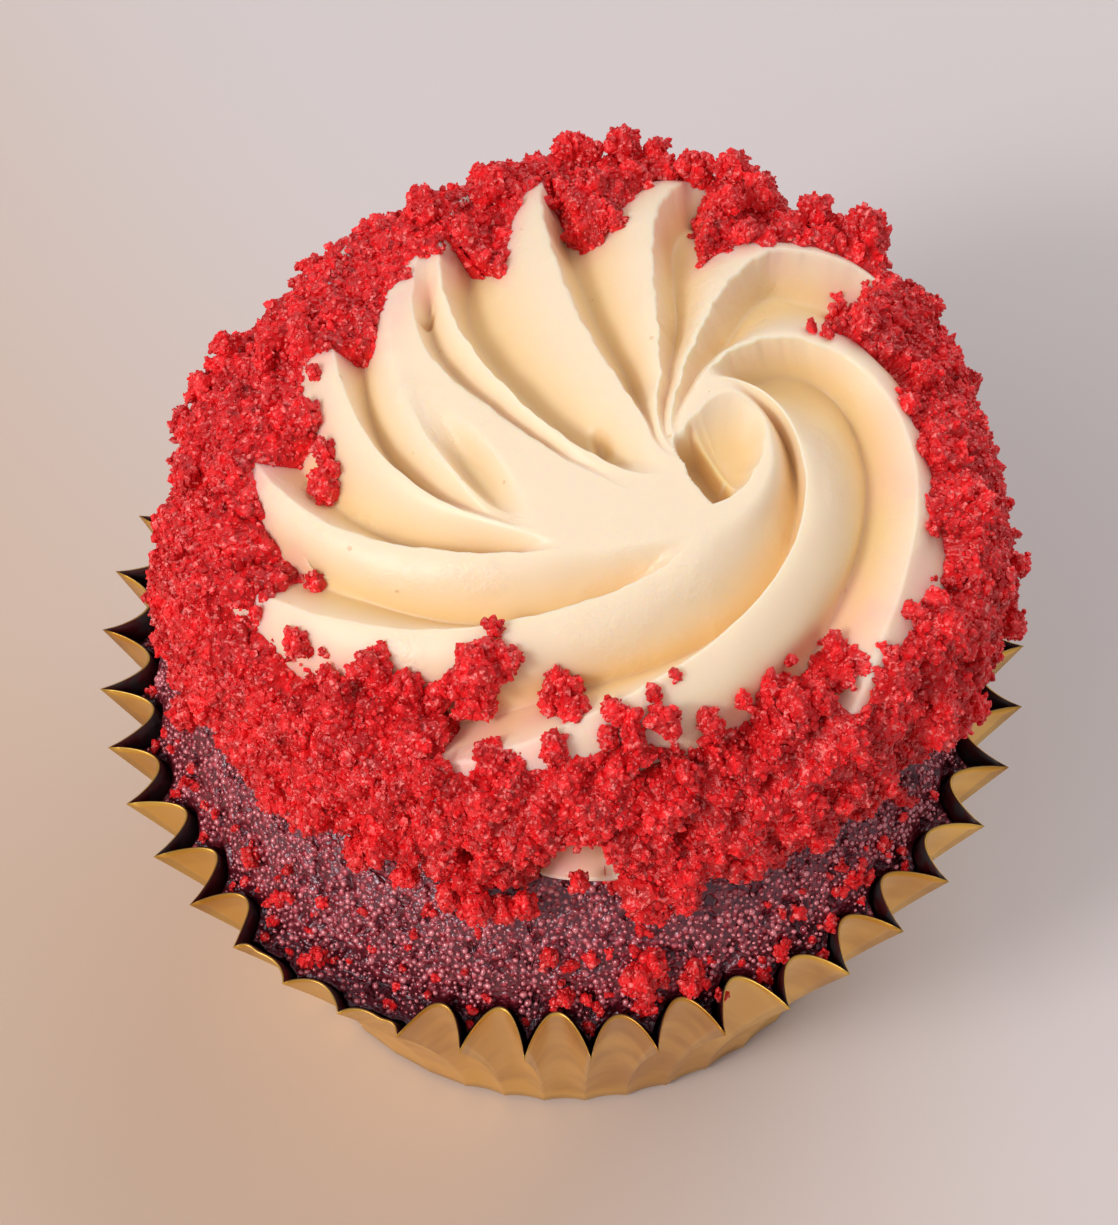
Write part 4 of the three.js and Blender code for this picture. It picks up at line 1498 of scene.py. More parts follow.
GRAIN_KINDS = (
    GrainKind("grains_coarse", 0.30 * MM, 0.48 * MM, 1.0 * MM, GrainShape.CHUNK, 21),
    GrainKind("grains_middle", 0.20 * MM, 0.32 * MM, 0.66 * MM, GrainShape.CHUNK, 22),
    GrainKind("grains_small", 0.14 * MM, 0.24 * MM, 0.46 * MM, GrainShape.SHARD, 23),
    GrainKind("grains_fine", 0.09 * MM, 0.16 * MM, 0.45 * MM, GrainShape.SHARD, 24),
)


@dataclass(frozen=True)
class LoneCrumb:
    """A larger crumb with a place of its own: its bearing, its share of the way down and its size."""

    bearing: float
    share: float
    radius: float


LONE_CRUMBS = tuple(
    LoneCrumb(bearing, share, radius * MM)
    for bearing, share, radius in (
        (-129, 0.94, 1.9), (-130, 1.02, 1.5), (-123, 0.95, 1.5), (-114, 0.83, 2.4), (-111, 0.79, 1.6),
        (-117, 0.72, 0.9), (-116, 0.89, 1.4), (-111, 0.94, 1.5), (-98, 0.88, 1.9), (-95, 0.91, 1.3),
        (-100, 0.83, 1.2), (-89, 0.88, 1.0), (-86, 0.91, 1.3), (-82, 0.85, 0.7), (-81, 0.91, 1.4),
        (-79, 0.95, 1.2), (-78, 0.81, 0.5), (-73, 0.96, 1.2), (-72, 1.0, 1.2), (-66, 0.96, 0.9),
        (-60, 0.96, 1.1), (-59, 1.0, 1.5), (-55, 1.05, 1.3), (-55, 0.94, 0.5), (-52, 1.07, 1.0),
        (-46, 1.02, 1.6), (-43, 1.15, 1.2), (-32, 1.15, 1.6), (-31, 1.66, 1.5), (-38, 1.43, 1.3),
        (-113, 0.97, 1.3), (-118, 0.96, 1.6), (-99, 0.93, 1.2), (-97, 0.97, 1.3), (-85, 0.96, 1.2),
        (-89, 0.95, 1.0), (-110, 1.9, 1.5), (-103, 1.93, 1.3), (-79, 1.9, 1.2), (-116, 1.88, 1.3),
        (-29, 1.75, 1.1), (-19, 0.97, 0.8), (-4, 0.93, 1.6), (5, 0.87, 1.0), (32, 0.64, 0.7),
        (28, 0.68, 0.7), (25, 0.8, 1.5), (32, 0.92, 1.2), (42, 1.1, 2.3), (46, 1.12, 1.3),
        (50, 1.05, 1.9), (59, 0.97, 1.8), (63, 1.1, 1.4), (58, 0.78, 1.2), (63, 0.86, 1.4),
        (91, 1.08, 1.5), (89, 1.12, 0.8), (95, 0.81, 1.0), (90, 0.82, 1.4), (87, 0.76, 1.2),
        (119, 0.78, 1.4), (106, 0.91, 2.0), (106, 1.1, 1.4), (120, 0.9, 2.2), (165, 0.82, 0.75),
        (175, 0.82, 1.5), (-177, 0.79, 1.2), (-170, 0.82, 1.6), (-173, 0.78, 1.0), (158, 0.85, 1.8),
        (-151, 0.95, 0.9), (-151, 1.09, 0.7), (-142, 1.01, 1.2), (-138, 0.99, 0.4), (-135, 1.09, 1.3),
        (-18, 1.6, 1.3), (-13, 1.45, 1.3), (-85, 1.9, 1.3), (-83, 1.92, 1.2), (-106, 1.88, 1.6),
        (-100, 1.89, 1.2), (-93, 1.66, 0.9), (-123, 1.86, 1.4), (-56, 1.54, 1.2), (-48, 1.67, 1.3),
        (170, 1.3, 1.6), (164, 1.25, 1.6), (157, 1.2, 1.6), (138, 1.15, 1.5), (65, 1.02, 1.8),
        (71, 1.03, 2.1), (78, 1.07, 1.3), (83, 1.02, 1.9), (92, 1.06, 1.5), (88, 1.0, 1.1),
        (-155, 1.9, 1.5),
    )
)


@dataclass(frozen=True)
class FallenCrumb:
    """A larger crumb that rests on the bare sponge: its place and size."""

    x: float
    y: float
    radius: float


FALLEN_CRUMBS = tuple(
    FallenCrumb(x * MM, y * MM, radius * MM)
    for x, y, radius in (
        (5.0, -30.4, 1.7), (6.0, -29.6, 1.4), (5.4, -31.3, 1.1), (8.7, -30.2, 1.2), (9.0, -29.5, 0.9),
        (-1.4, -29.4, 0.8), (-0.4, -31.2, 0.9), (-1.2, -31.4, 0.6), (-18.4, -26.3, 0.9), (-23.4, -19.7, 0.9),
        (15.4, -27.6, 0.8), (19.2, -25.2, 0.8), (24.8, -16.7, 0.9), (10.9, -30.4, 0.6),
    )
)

# Where the crumbs begin on top: bearing about the ring, and distance from its centre in millimetres.
CRUMB_EDGE = (
    (-180, 20.0), (-175, 24.0), (-165, 25.0), (-155, 25.6), (-152, 26.9), (-136, 27.2), (-132, 25.6),
    (-129, 24.4), (-122, 24.6), (-117, 25.4), (-113, 27.0), (-110, 26.8), (-104, 26.1), (-100, 25.5),
    (-96, 25.9), (-90, 25.2), (-84, 25.2), (-78, 26.2), (-71, 26.8), (-65, 26.7), (-61, 25.2),
    (-56, 25.3), (-52, 26.2), (-48, 26.0), (-39, 26.4), (-33, 26.0), (-27, 26.9), (-22, 27.0),
    (-18, 26.0), (-15, 25.1), (0, 23.9), (10, 23.2), (16, 23.8), (20, 20.9), (25, 19.4), (29, 22.5),
    (34, 26.3), (40, 26.1), (50, 21.5), (60, 16.8), (65, 21.5), (69, 27.4), (75, 27.2), (80, 22.3),
    (85, 17.6), (90, 17.4), (95, 23.8), (100, 22.9), (110, 16.2), (115, 14.2), (119, 20.2),
    (130, 18.9), (145, 17.2), (156, 16.7), (160, 20.5), (167, 21.5), (175, 20.3), (180, 20.0),
)

# Thickness of the coat in millimetres: bearing, at the belly, and at the foot where crumbs have slid down.
CRUST = (
    (-180, 2.2, 5.0), (-165, 3.4, 5.2), (-150, 3.2, 4.2), (-138, 2.8, 3.8), (-126, 2.4, 3.0),
    (-118, 2.2, 2.4), (-105, 2.6, 3.4), (-92, 1.8, 1.0), (-84, 2.2, 2.8), (-72, 2.2, 2.0),
    (-60, 1.9, 0.8), (-48, 2.0, 1.2), (-34, 2.6, 2.6), (-18, 3.2, 3.4), (0, 2.2, 3.0),
    (25, 1.6, 1.6), (40, 2.6, 1.2), (52, 1.6, 1.2), (70, 2.7, 1.2), (90, 2.8, 1.2),
    (100, 2.2, 1.2), (110, 0.7, 1.2), (122, 1.5, 1.2), (140, 0.5, 1.4), (152, 1.9, 2.4), (180, 2.2, 5.0),
)


def round_table(table: Sequence[Sequence[float]], column: int, bearing: Array) -> Array:
    """Read one column of a table of bearings.

    Args:
        table: Rows that start with a bearing in degrees, from -180 to 180, with lengths in millimetres.
        column: The column to read.
        bearing: Where to read it, in degrees.

    Returns:
        The lengths in metres.
    """
    at = (np.asarray(bearing) + 180.0) % 360.0 - 180.0
    return np.interp(at, [row[0] for row in table], [row[column] * MM for row in table])


@dataclass(frozen=True)
class Gap:
    """A patch of the side where crumbs have rubbed off and the cream shows."""

    bearing: float
    share: float
    length: float
    width: float


GAPS = tuple(
    Gap(bearing, share, length * MM, width * MM)
    for bearing, share, length, width in (
        (-94, 1.74, 3.5, 5.0), (-75, 1.92, 1.7, 2.4), (-83, 1.09, 1.4, 0.8), (-79, 1.46, 0.9, 1.6),
        (-114, 1.31, 0.9, 0.9), (-108, 1.6, 0.8, 1.6), (-141, 1.2, 1.9, 0.8), (-155, 1.17, 1.3, 1.0),
        (-49, 1.15, 1.6, 0.8), (-56, 1.14, 0.8, 0.5), (-22, 1.03, 2.0, 1.6), (12, 0.93, 2.2, 1.4),
        (58, 0.93, 1.6, 0.9), (89, 1.02, 1.2, 0.8), (150, 1.1, 1.0, 0.7), (-66, 1.35, 0.8, 0.5),
    )
)


@dataclass
class Scatter:
    """Scatters small pieces over a skin with a geometry tree and keeps them as one plain mesh."""

    name: str
    spacing: float
    smallest: float
    largest: float
    sink: float
    seed: int
    finish: Finish
    smooth: bool = False
    lift_off: float = 0.03 * MM
    ray_length: float = 6.0 * MM
    full_turn: float = 6.283
    tone_seed: int = 50
    turn_seed: int = 90
    crowding: float = 3.0

    def tree(self) -> bpy.types.NodeTree:
        """Build the tree: spread points, drop the buried ones, and set a turned, sized piece on each.

        Returns:
            The tree.
        """
        group = bpy.data.node_groups.new("scatter_" + self.name, "GeometryNodeTree")
        group.interface.new_socket("Geometry", in_out="INPUT", socket_type="NodeSocketGeometry")
        labels = {
            "Float": ("Spacing", "Smallest", "Largest"),
            "Int": ("Seed",),
            "Collection": ("Templates", "Skins", "Solids"),
            "Object": ("Extras",),
        }
        for kind, names in labels.items():
            for label in names:
                group.interface.new_socket(label, in_out="INPUT", socket_type="NodeSocket" + kind)
        group.interface.new_socket("Geometry", in_out="OUTPUT", socket_type="NodeSocketGeometry")
        t = Tree(group)
        given = t.node("NodeGroupInput").outputs

        # The skins: the carrier with its own cover, and further pieces that are covered all over.
        others = t.node("GeometryNodeCollectionInfo", {"Collection": given["Skins"]})
        other_skins = t.node("GeometryNodeRealizeInstances", {"Geometry": others.outputs[0]})
        skins = t.node("GeometryNodeJoinGeometry")
        t.tree.links.new(t.keep(other_skins.outputs[0], "cover", 1.0), skins.inputs[0])
        t.tree.links.new(given["Geometry"], skins.inputs[0])
        cover = t.node("GeometryNodeInputNamedAttribute", {"Name": "cover"}, data_type="FLOAT").outputs[0]
        spread = t.node(
            "GeometryNodeDistributePointsOnFaces",
            {
                "Mesh": skins.outputs[0],
                "Distance Min": given["Spacing"],
                "Density Max": self.crowding / self.spacing**2,
                "Density Factor": cover,
                "Seed": given["Seed"],
            },
            distribute_method="POISSON",
        )
        normal = spread.outputs["Normal"]

        # A point is buried where a ray outwards meets the inner side of a solid.
        solids = t.node("GeometryNodeCollectionInfo", {"Collection": given["Solids"]})
        target = t.node("GeometryNodeRealizeInstances", {"Geometry": solids.outputs[0]})
        here = t.node("GeometryNodeInputPosition").outputs[0]
        step_off = t.scaled(normal, self.lift_off)
        origin = t.node("ShaderNodeVectorMath", {0: here, 1: step_off}, operation="ADD")
        ray = t.node(
            "GeometryNodeRaycast",
            {
                "Target Geometry": target.outputs[0],
                "Source Position": origin.outputs[0],
                "Ray Direction": normal,
                "Ray Length": self.ray_length,
            },
        )
        sides = {0: ray.outputs["Hit Normal"], 1: normal}
        facing = t.node("ShaderNodeVectorMath", sides, operation="DOT_PRODUCT").outputs["Value"]
        from_inside = t.math("MULTIPLY", ray.outputs["Is Hit"], t.math("GREATER_THAN", facing, 0.0))
        spare = {"Geometry": spread.outputs["Points"], "Selection": from_inside}
        kept = t.node("GeometryNodeDeleteGeometry", spare)

        # Small pieces are commoner than large ones, and each sinks in by a share of its size.
        draw = self.chance(t, given["Seed"])
        radius = t.blend(t.math("MULTIPLY", draw, draw), given["Smallest"], given["Largest"])
        sized = t.keep(kept.outputs[0], "size", radius)
        offset = t.scaled(normal, t.math("MULTIPLY", radius, -self.sink))
        lowered = t.node("GeometryNodeSetPosition", {"Geometry": sized, "Offset": offset})
        extra = t.node("GeometryNodeObjectInfo", {"Object": given["Extras"]}, transform_space="RELATIVE")
        points = t.node("GeometryNodeMeshToPoints", {"Mesh": extra.outputs["Geometry"]})
        joined = t.node("GeometryNodeJoinGeometry")
        t.tree.links.new(points.outputs[0], joined.inputs[0])
        t.tree.links.new(lowered.outputs[0], joined.inputs[0])

        toned = t.keep(joined.outputs[0], "tone", self.chance(t, self.seed + self.tone_seed))
        turns = {0: (0.0,) * 3, 1: (self.full_turn,) * 3, "Seed": self.seed + self.turn_seed}
        turn = t.node("FunctionNodeRandomValue", turns, data_type="FLOAT_VECTOR")
        templates = {"Collection": given["Templates"], "Separate Children": True}
        shelf = t.node("GeometryNodeCollectionInfo", templates)
        size = t.node("GeometryNodeInputNamedAttribute", {"Name": "size"}, data_type="FLOAT").outputs[0]
        placed = t.node(
            "GeometryNodeInstanceOnPoints",
            {
                "Points": toned,
                "Instance": shelf.outputs[0],
                "Pick Instance": True,
                "Rotation": turn.outputs[0],
                "Scale": size,
            },
        )
        t.realized(placed.outputs[0], self.finish.material())
        return group

    @staticmethod
    def chance(t: Tree, seed: Any) -> Socket:
        """A random number from 0 to 1 for each point."""
        return t.node("FunctionNodeRandomValue", {2: 0.0, 3: 1.0, "Seed": seed}, data_type="FLOAT").outputs[1]

    def over(
        self,
        carrier: bpy.types.Object,
        templates: Sequence[bpy.types.Mesh],
        extras: bpy.types.Object | None = None,
        skins: Sequence[bpy.types.Object] = (),
        solids: Sequence[bpy.types.Object] = (),
    ) -> bpy.types.Object:
        """Scatter the pieces.

        Args:
            carrier: The skin to scatter them over, with its cover; it is used up.
            templates: The shapes to pick from, of radius 1.
            extras: Points with a size that get a piece too; it is used up.
            skins: Further pieces that are covered all over.
            solids: The pieces that can bury a point.

        Returns:
            The pieces, as one plain object.
        """
        shelves = {label: bpy.data.collections.new(label) for label in ("templates", "skins", "solids")}
        for number, mesh in enumerate(templates):
            shelves["templates"].objects.link(bpy.data.objects.new(f"{self.name}_{number}", mesh))
        for label, pieces in (("skins", skins), ("solids", solids)):
            for piece in pieces:
                shelves[label].objects.link(piece)
        values = {
            "Spacing": self.spacing,
            "Smallest": self.smallest,
            "Largest": self.largest,
            "Seed": self.seed,
            "Templates": shelves["templates"],
            "Skins": shelves["skins"],
            "Solids": shelves["solids"],
        }
        if extras is not None:
            values["Extras"] = extras
        add_tree(carrier, self.tree(), values)
        made = plain_copy(carrier, self.name)
        made.data.polygons.foreach_set("use_smooth", [self.smooth] * len(made.data.polygons))
        for template in list(shelves["templates"].objects):
            bpy.data.objects.remove(template)
        for shelf in shelves.values():
            bpy.data.collections.remove(shelf)
        if extras is not None:
            bpy.data.objects.remove(extras)
        return made


def ball_mesh(name: str, levels: int, length: Callable[[Vector], float], squeeze: Vector) -> bpy.types.Mesh:
    """A ball of radius 1 whose surface is moved in and out.

    Args:
        name: The mesh's name.
        levels: How often the starting ball is subdivided.
        length: Distance of the surface from the middle in each direction.
        squeeze: Scale along each axis.

    Returns:
        The mesh.
    """
    shape = bmesh.new()
    bmesh.ops.create_icosphere(shape, subdivisions=levels, radius=1.0)
    for vertex in shape.verts:
        way = vertex.co.normalized()
        vertex.co = way * squeeze * length(way)
    mesh = bpy.data.meshes.new(name)
    shape.to_mesh(mesh)
    shape.free()
    return mesh


def grain_mesh(name: str, shape: GrainShape, draw: random.Random, low: float, high: float) -> bpy.types.Mesh:
    """One sharp grain of radius about 1.

    Args:
        name: The mesh's name.
        shape: Its number of faces.
        draw: Source of chance.
        low: Shortest distance of a corner from the middle.
        high: Longest distance of a corner from the middle.

    Returns:
        The mesh.
    """
    if shape is GrainShape.CHUNK:
        squeeze = Vector((1.0, draw.uniform(0.7, 1.0), draw.uniform(0.6, 0.9)))
        return ball_mesh(name, 1, lambda way: draw.uniform(low, high), squeeze)
    ways = ((1, 0, 0), (0, 1, 0), (-1, 0, 0), (0, -1, 0), (0, 0, 1), (0, 0, -1))
    corners = [Vector(way) * draw.uniform(low, high) for way in ways]
    faces = []
    for i in range(4):
        j = (i + 1) % 4
        faces += [(i, j, 4), (j, i, 5)]
    mesh = bpy.data.meshes.new(name)
    mesh.from_pydata([tuple(corner) for corner in corners], [], faces)
    return mesh


@dataclass
class Crumbs:
    """The ring of red crumbs: a rough bed on the cream, clumps on it, and sharp grains all over both."""

    swirl: Swirl
    edge_width: float = 1.2 * MM
    side_reach: float = 8.0 * MM
    around: int = 760
    bands: int = 100
    templates: int = 9
    thinner: float = 1.5 * MM
    foot_thinner: float = 0.7 * MM
    lump: float = 1.6 * MM
    lump_size: float = 4.6 * MM
    clump: float = 1.7 * MM
    clump_size: float = 2.0 * MM
    granule: float = 0.5 * MM
    granule_size: float = 0.85 * MM
    grain_sink: float = -0.15
    grain_corners: tuple[float, float] = (0.65, 1.3)
    lone_lift: float = 0.5
    fallen_lift: float = 0.45
    fallen_clear: float = 1.5 * MM
    fallen_zone: tuple[float, float] = (29.5 * MM, 31.5 * MM)
    fallen_cover: tuple[float, float] = (0.12, 0.75)
    ragged: float = 0.9 * MM
    ragged_size: float = 1.6 * MM
    frayed: float = 0.5 * MM
    frayed_size: float = 0.6 * MM
    valley_share: float = 0.25
    dive: float = 1.2 * MM
    under_cream: float = 0.7 * MM
    thinnest: float = 0.15 * MM
    foot_tuck: float = 0.8 * MM
    tucked_shares: tuple[float, float] = (1.93, 2.0)
    cover_edge: tuple[float, float] = (-0.3 * MM, 0.2 * MM)
    cover_end: tuple[float, float] = (1.95, 1.99)
    side_length: float = 19.0 * MM
    inner_rings: tuple[tuple[float, float], ...] = (
        (18.0 * MM, 50.0 * MM),
        (22.0 * MM, 44.0 * MM),
        (25.0 * MM, 41.0 * MM),
    )

    def reach(self, share: Array, x: Array, y: Array) -> Array:
        """Distance from the ring's centre on top, counted on down the side."""
        down = self.swirl.shoulder_radius + (share - 1.0) * self.side_reach
        return np.where(share <= 1.0, self.swirl.from_ring(x, y), down)

    def past_edge(self, share: Array, x: Array, y: Array) -> Array:
        """How far past the crumbs' edge a place lies: negative on the bare cream, in metres."""
        return self.reach(share, x, y) - round_table(CRUMB_EDGE, 1, self.swirl.about_ring(x, y))

    def thickness(self, share: Array, bearing: Array) -> Array:
        """Thickness of the bed from the shoulder down to the foot, under its clumps.

        Args:
            share: From the pit (0) over the shoulder (1) to the foot (2).
            bearing: Bearing in radians.

        Returns:
            The thickness in metres.
        """
        degrees = np.degrees(bearing)
        belly = round_table(CRUST, 1, degrees) - self.thinner
        foot = round_table(CRUST, 2, degrees) - self.foot_thinner
        return mix(belly, foot, smoothstep(1.3, 2.0, share)) * smoothstep(0.5, 1.1, share)

    def gap_at(self, points: Array) -> Array:
        """How bare the coat is: 1 in the middle of a gap, 0 away from the gaps.

        Args:
            points: Places on the swirl, one row each.

        Returns:
            One value for each place.
        """
        bare = np.zeros(len(points))
        wobble = 0.5 * noise_at(points, 1.3 * MM, 11.0) + 0.25 * noise_at(points, 0.5 * MM, 5.0)
        for gap in GAPS:
            turn = math.radians(gap.bearing)
            place = self.swirl.place(np.array([gap.share]), np.array([turn]))
            middle = np.array([float(v[0]) for v in place[:3]])
            across = (points - middle) @ np.array([-math.sin(turn), math.cos(turn), 0.0])
            distance = np.linalg.norm(points - middle, axis=1)
            along = np.sqrt(np.maximum(0.0, distance**2 - across**2))
            shape = np.hypot(across / gap.length, along / gap.width) + wobble
            bare = np.maximum(bare, 1.0 - smoothstep(0.8, 1.1, shape))
        return bare

    def start_share(self, bearing: Array) -> Array:
        """The share at each bearing where the bed dives under the cream.

        Args:
            bearing: Bearings in radians.

        Returns:
            One share for each bearing.
        """
        start = np.full_like(bearing, 0.5)
        for share in np.arange(0.5, 1.1, 0.01):
            x, y, _, _ = self.swirl.place(np.full_like(bearing, share), bearing)
            bare = self.past_edge(np.full_like(bearing, share), x, y) < -self.dive
            start = np.where(bare, share, start)
        return start

    def clump_meshes(self, kind: ClumpKind) -> list[bpy.types.Mesh]:
        """The lumpy shapes of one kind of crumb, of radius about 1.

        Args:
            kind: The kind of crumb.

        Returns:
            The shapes.
        """
        meshes = []
        for number in range(self.templates):
            shift = Vector((kind.seed * 3.7 + number * 1.9, number * 1.3, kind.seed + number * 5.9))

            def length(way: Vector, shift: Vector = shift) -> float:
                """How far the crumb reaches in one direction.

                Args:
                    way: The direction.
                    shift: Where in the noise this shape is read.

                Returns:
                    The distance from its middle.
                """
                big = noise.noise(way * 1.1 + shift)
                knob = 1.0 - min(1.0, noise.voronoi(way * 1.5 + shift)[0][0] / 0.8) ** 2
                bead = 1.0 - min(1.0, noise.voronoi(way * 3.2 + shift)[0][0] / 0.8) ** 2
                return max(0.3, 0.5 + 0.6 * big + 0.32 * knob + 0.2 * bead)

            squeeze = Vector((1.0, 0.72 + 0.06 * (number % 5), 0.78 + 0.08 * (number % 3)))
            meshes.append(ball_mesh(f"{kind.name}_{number}", kind.levels, length, squeeze))
        return meshes

    def lone_places(self) -> list[tuple[Vector, float]]:
        """Work out where the listed crumbs lie.

        Returns:
            Middle and radius of each.
        """
        places = []
        for lone in LONE_CRUMBS:
            share, turn = np.array([lone.share]), np.array([math.radians(lone.bearing)])
            x, y, z, slope = (float(v[0]) for v in self.swirl.place(share, turn))
            past = float(self.past_edge(share, np.array([x]), np.array([y]))[0])
            coat = float(smoothstep(0.0, self.edge_width, past))
            bare = -float(self.swirl.depth_at(share, turn)[0])
            coated = float(self.thickness(share, turn)[0])
            lift = self.lone_lift * lone.radius + mix(bare, coated, coat)
            out = lift * math.sin(slope)
            middle = (x + out * math.cos(turn[0]), y + out * math.sin(turn[0]), z + lift * math.cos(slope))
            places.append((Vector(middle), lone.radius))
        for fallen in FALLEN_CRUMBS:
            level = float(self.swirl.sponge.dome_z(np.array([math.hypot(fallen.x, fallen.y)]))[0])
            middle = (fallen.x, fallen.y, level + self.fallen_lift * fallen.radius)
            places.append((Vector(middle), fallen.radius))
        return places

    def lone_points(self, kind: ClumpKind) -> bpy.types.Object:
        """Points for the listed crumbs, each a cluster of clumps of several kinds.

        Args:
            kind: The kind of crumb that is being scattered.

        Returns:
            An object with one vertex for each clump.
        """
        draw = random.Random(kind.seed)
        places: list[tuple[float, ...]] = []
        sizes: list[float] = []
        for middle, radius in self.lone_places():
            for _ in range(kind.near_lone):
                way = Vector((draw.gauss(0, 1), draw.gauss(0, 1), draw.gauss(0, 1))).normalized()
                size = kind.near_share * radius * draw.uniform(0.85, 1.15)
                away = max(0.0, 1.15 * radius - size) * draw.uniform(0.7, 1.0)
                places.append(tuple(middle + way * (away if kind.near_lone > 1 else 0.0)))
                sizes.append(size)
        made = mesh_object("extras_" + kind.name, np.array(places).reshape(-1, 3), [], False)
        store(made.data, "size", np.array(sizes))
        return made

    def clumps(self, kind: ClumpKind, carrier: bpy.types.Object) -> bpy.types.Object:
        """Scatter one kind of crumb over a skin.

        Args:
            kind: The kind of crumb.
            carrier: The skin; it is used up.

        Returns:
            The crumbs, as one piece.
        """
        sizes = (kind.spacing, kind.smallest, kind.largest, kind.sink)
        scatter = Scatter(kind.name, *sizes, kind.seed, CrumbFinish())
        return scatter.over(carrier, self.clump_meshes(kind), self.lone_points(kind))

    def grains(
        self,
        kind: GrainKind,
        carrier: bpy.types.Object,
        skins: Sequence[bpy.types.Object],
        solids: Sequence[bpy.types.Object],
    ) -> bpy.types.Object:
        """Cover the bed and every clump with one kind of grain.

        Args:
            kind: The kind of grain.
            carrier: The bed's skin; it is used up.
            skins: The clumps.
            solids: What can bury a grain.

        Returns:
            The grains, as one piece.
        """
        draw = random.Random(kind.seed)
        names = [f"{kind.name}_{i}" for i in range(self.templates)]
        shapes = [grain_mesh(name, kind.shape, draw, *self.grain_corners) for name in names]
        sizes = (kind.spacing, kind.smallest, kind.largest, self.grain_sink)
        scatter = Scatter(kind.name, *sizes, kind.seed, CrumbFinish())
        return scatter.over(carrier, shapes, None, skins, solids)

    def bed(self) -> tuple[bpy.types.Object, Array]:
        """The rough red bed that the clumps stick to, closed underneath inside the cream.

        Returns:
            The bed, and how much each of its vertices is covered with crumbs.
        """
        swirl = self.swirl
        turn = np.arange(self.around) * 2 * math.pi / self.around
        shoulder, side = swirl.shoulder_radius, self.side_length
        start = shoulder * self.start_share(turn)
        step = np.linspace(0.0, 1.0, self.bands)[:, None]
        run = mix(start[None, :], shoulder + side, step)
        share = np.where(run < shoulder, run / shoulder, 1 + (run - shoulder) / side)
        share, bearing = share.ravel(), np.broadcast_to(turn, run.shape).ravel()
        x, y, z, slope = swirl.place(share, bearing)
        points = np.stack([x, y, z], axis=1)
        depth = swirl.depth_at(share, bearing)
        ragged = self.ragged * noise_at(points, self.ragged_size)
        ragged = ragged + self.frayed * noise_at(points, self.frayed_size)
        past = self.past_edge(share, x, y) + ragged
        bare = self.gap_at(points)
        lumps = self.lump * (cells_at(points, self.lump_size, 1.0) - 0.6)
        clumps = self.clump * (cells_at(points, self.clump_size, 2.0) - 0.6)
        granules = self.granule * (cells_at(points, self.granule_size, 9.0) - 0.6)
        relief = lumps + clumps + granules
        coat = smoothstep(-0.1 * MM, self.edge_width, past) * (1.0 - bare)
        full = self.thickness(share, bearing) + relief - self.valley_share * depth
        push = mix(-depth - self.under_cream, np.maximum(full, self.thinnest - depth), coat)
        push -= self.foot_tuck * smoothstep(*self.tucked_shares, share)
        push_out(points, push, slope, bearing)
        for radius, level in self.inner_rings:
            ring = ring_points(radius, turn, np.zeros_like(turn))
            points = np.concatenate([points, ring + np.array([swirl.ring[0], swirl.ring[1], level])])
        rings = self.bands + len(self.inner_rings)
        faces = band_faces([(ring, (ring + 1) % rings) for ring in range(rings)], self.around)
        made = mesh_object("crumb_bed", points, faces, False)
        spare = np.zeros(len(self.inner_rings) * self.around)
        cover = smoothstep(*self.cover_edge, past) * (1.0 - smoothstep(0.1, 0.5, bare))
        cover = cover * (1.0 - smoothstep(*self.cover_end, share))
        made.data.materials.append(CrumbFinish().material())
        return made, np.concatenate([cover, spare])

    def coat_carrier(self, bed: bpy.types.Object, cover: Array, name: str) -> bpy.types.Object:
        """A copy of the bed for clumps to be scattered over.

        Args:
            bed: The bed.
            cover: How much each of its vertices is covered.
            name: The copy's name.

        Returns:
            The copy, with its cover stored for each vertex.
        """
        made = bpy.data.objects.new(name, bed.data.copy())
        bpy.context.scene.collection.objects.link(made)
        store(made.data, "cover", cover)
        return made

    def past_coat(self, x: Array, y: Array) -> Array:
        """How far outside the coat's foot a place on the dome lies, in metres."""
        from_foot = self.swirl.from_ring(x, y) - self.swirl.foot_radius
        return from_foot - round_table(CRUST, 2, self.swirl.about_ring(x, y))

    def dome_carrier(self, name: str) -> bpy.types.Object:
        """The bare dome round the foot of the cream, where crumbs have fallen.

        Args:
            name: Its name.

        Returns:
            The skin, with its cover stored for each vertex.
        """
        made = self.swirl.sponge.bare_skin(name)
        points = coordinates(made)
        x, y = points[:, 0], points[:, 1]
        free = smoothstep(0.0, self.fallen_clear, self.past_coat(x, y))
        rim = smoothstep(*self.fallen_zone, np.hypot(x, y))
        store(made.data, "cover", free * mix(*self.fallen_cover, rim))
        return made

    def build(self, cream: bpy.types.Object) -> None:
        """Make the bed, every kind of clump and every kind of grain.

        Args:
            cream: The cream, which buries some grains.
        """
        bed, cover = self.bed()
        clumps = []
        for kind in CLUMP_KINDS:
            clumps.append(self.clumps(kind, self.coat_carrier(bed, cover, "skin_" + kind.name)))
        clumps.append(self.clumps(FALLEN_KIND, self.dome_carrier("skin_" + FALLEN_KIND.name)))
        pieces = [bed, *clumps]
        for kind in GRAIN_KINDS:
            skin = self.coat_carrier(bed, cover, "skin_" + kind.name)
            pieces.append(self.grains(kind, skin, clumps, [bed, cream, *clumps]))
        for piece in pieces:
            dress(piece, "crumbs")


# ---------------------------------------------------------------------- the setting


@dataclass(frozen=True)
class Lamp:
    """One soft square light: its place and side in metres, its power in watts and its colour."""

    name: str
    place: tuple[float, float, float]
    side: float
    power: float
    colour: tuple[float, float, float]


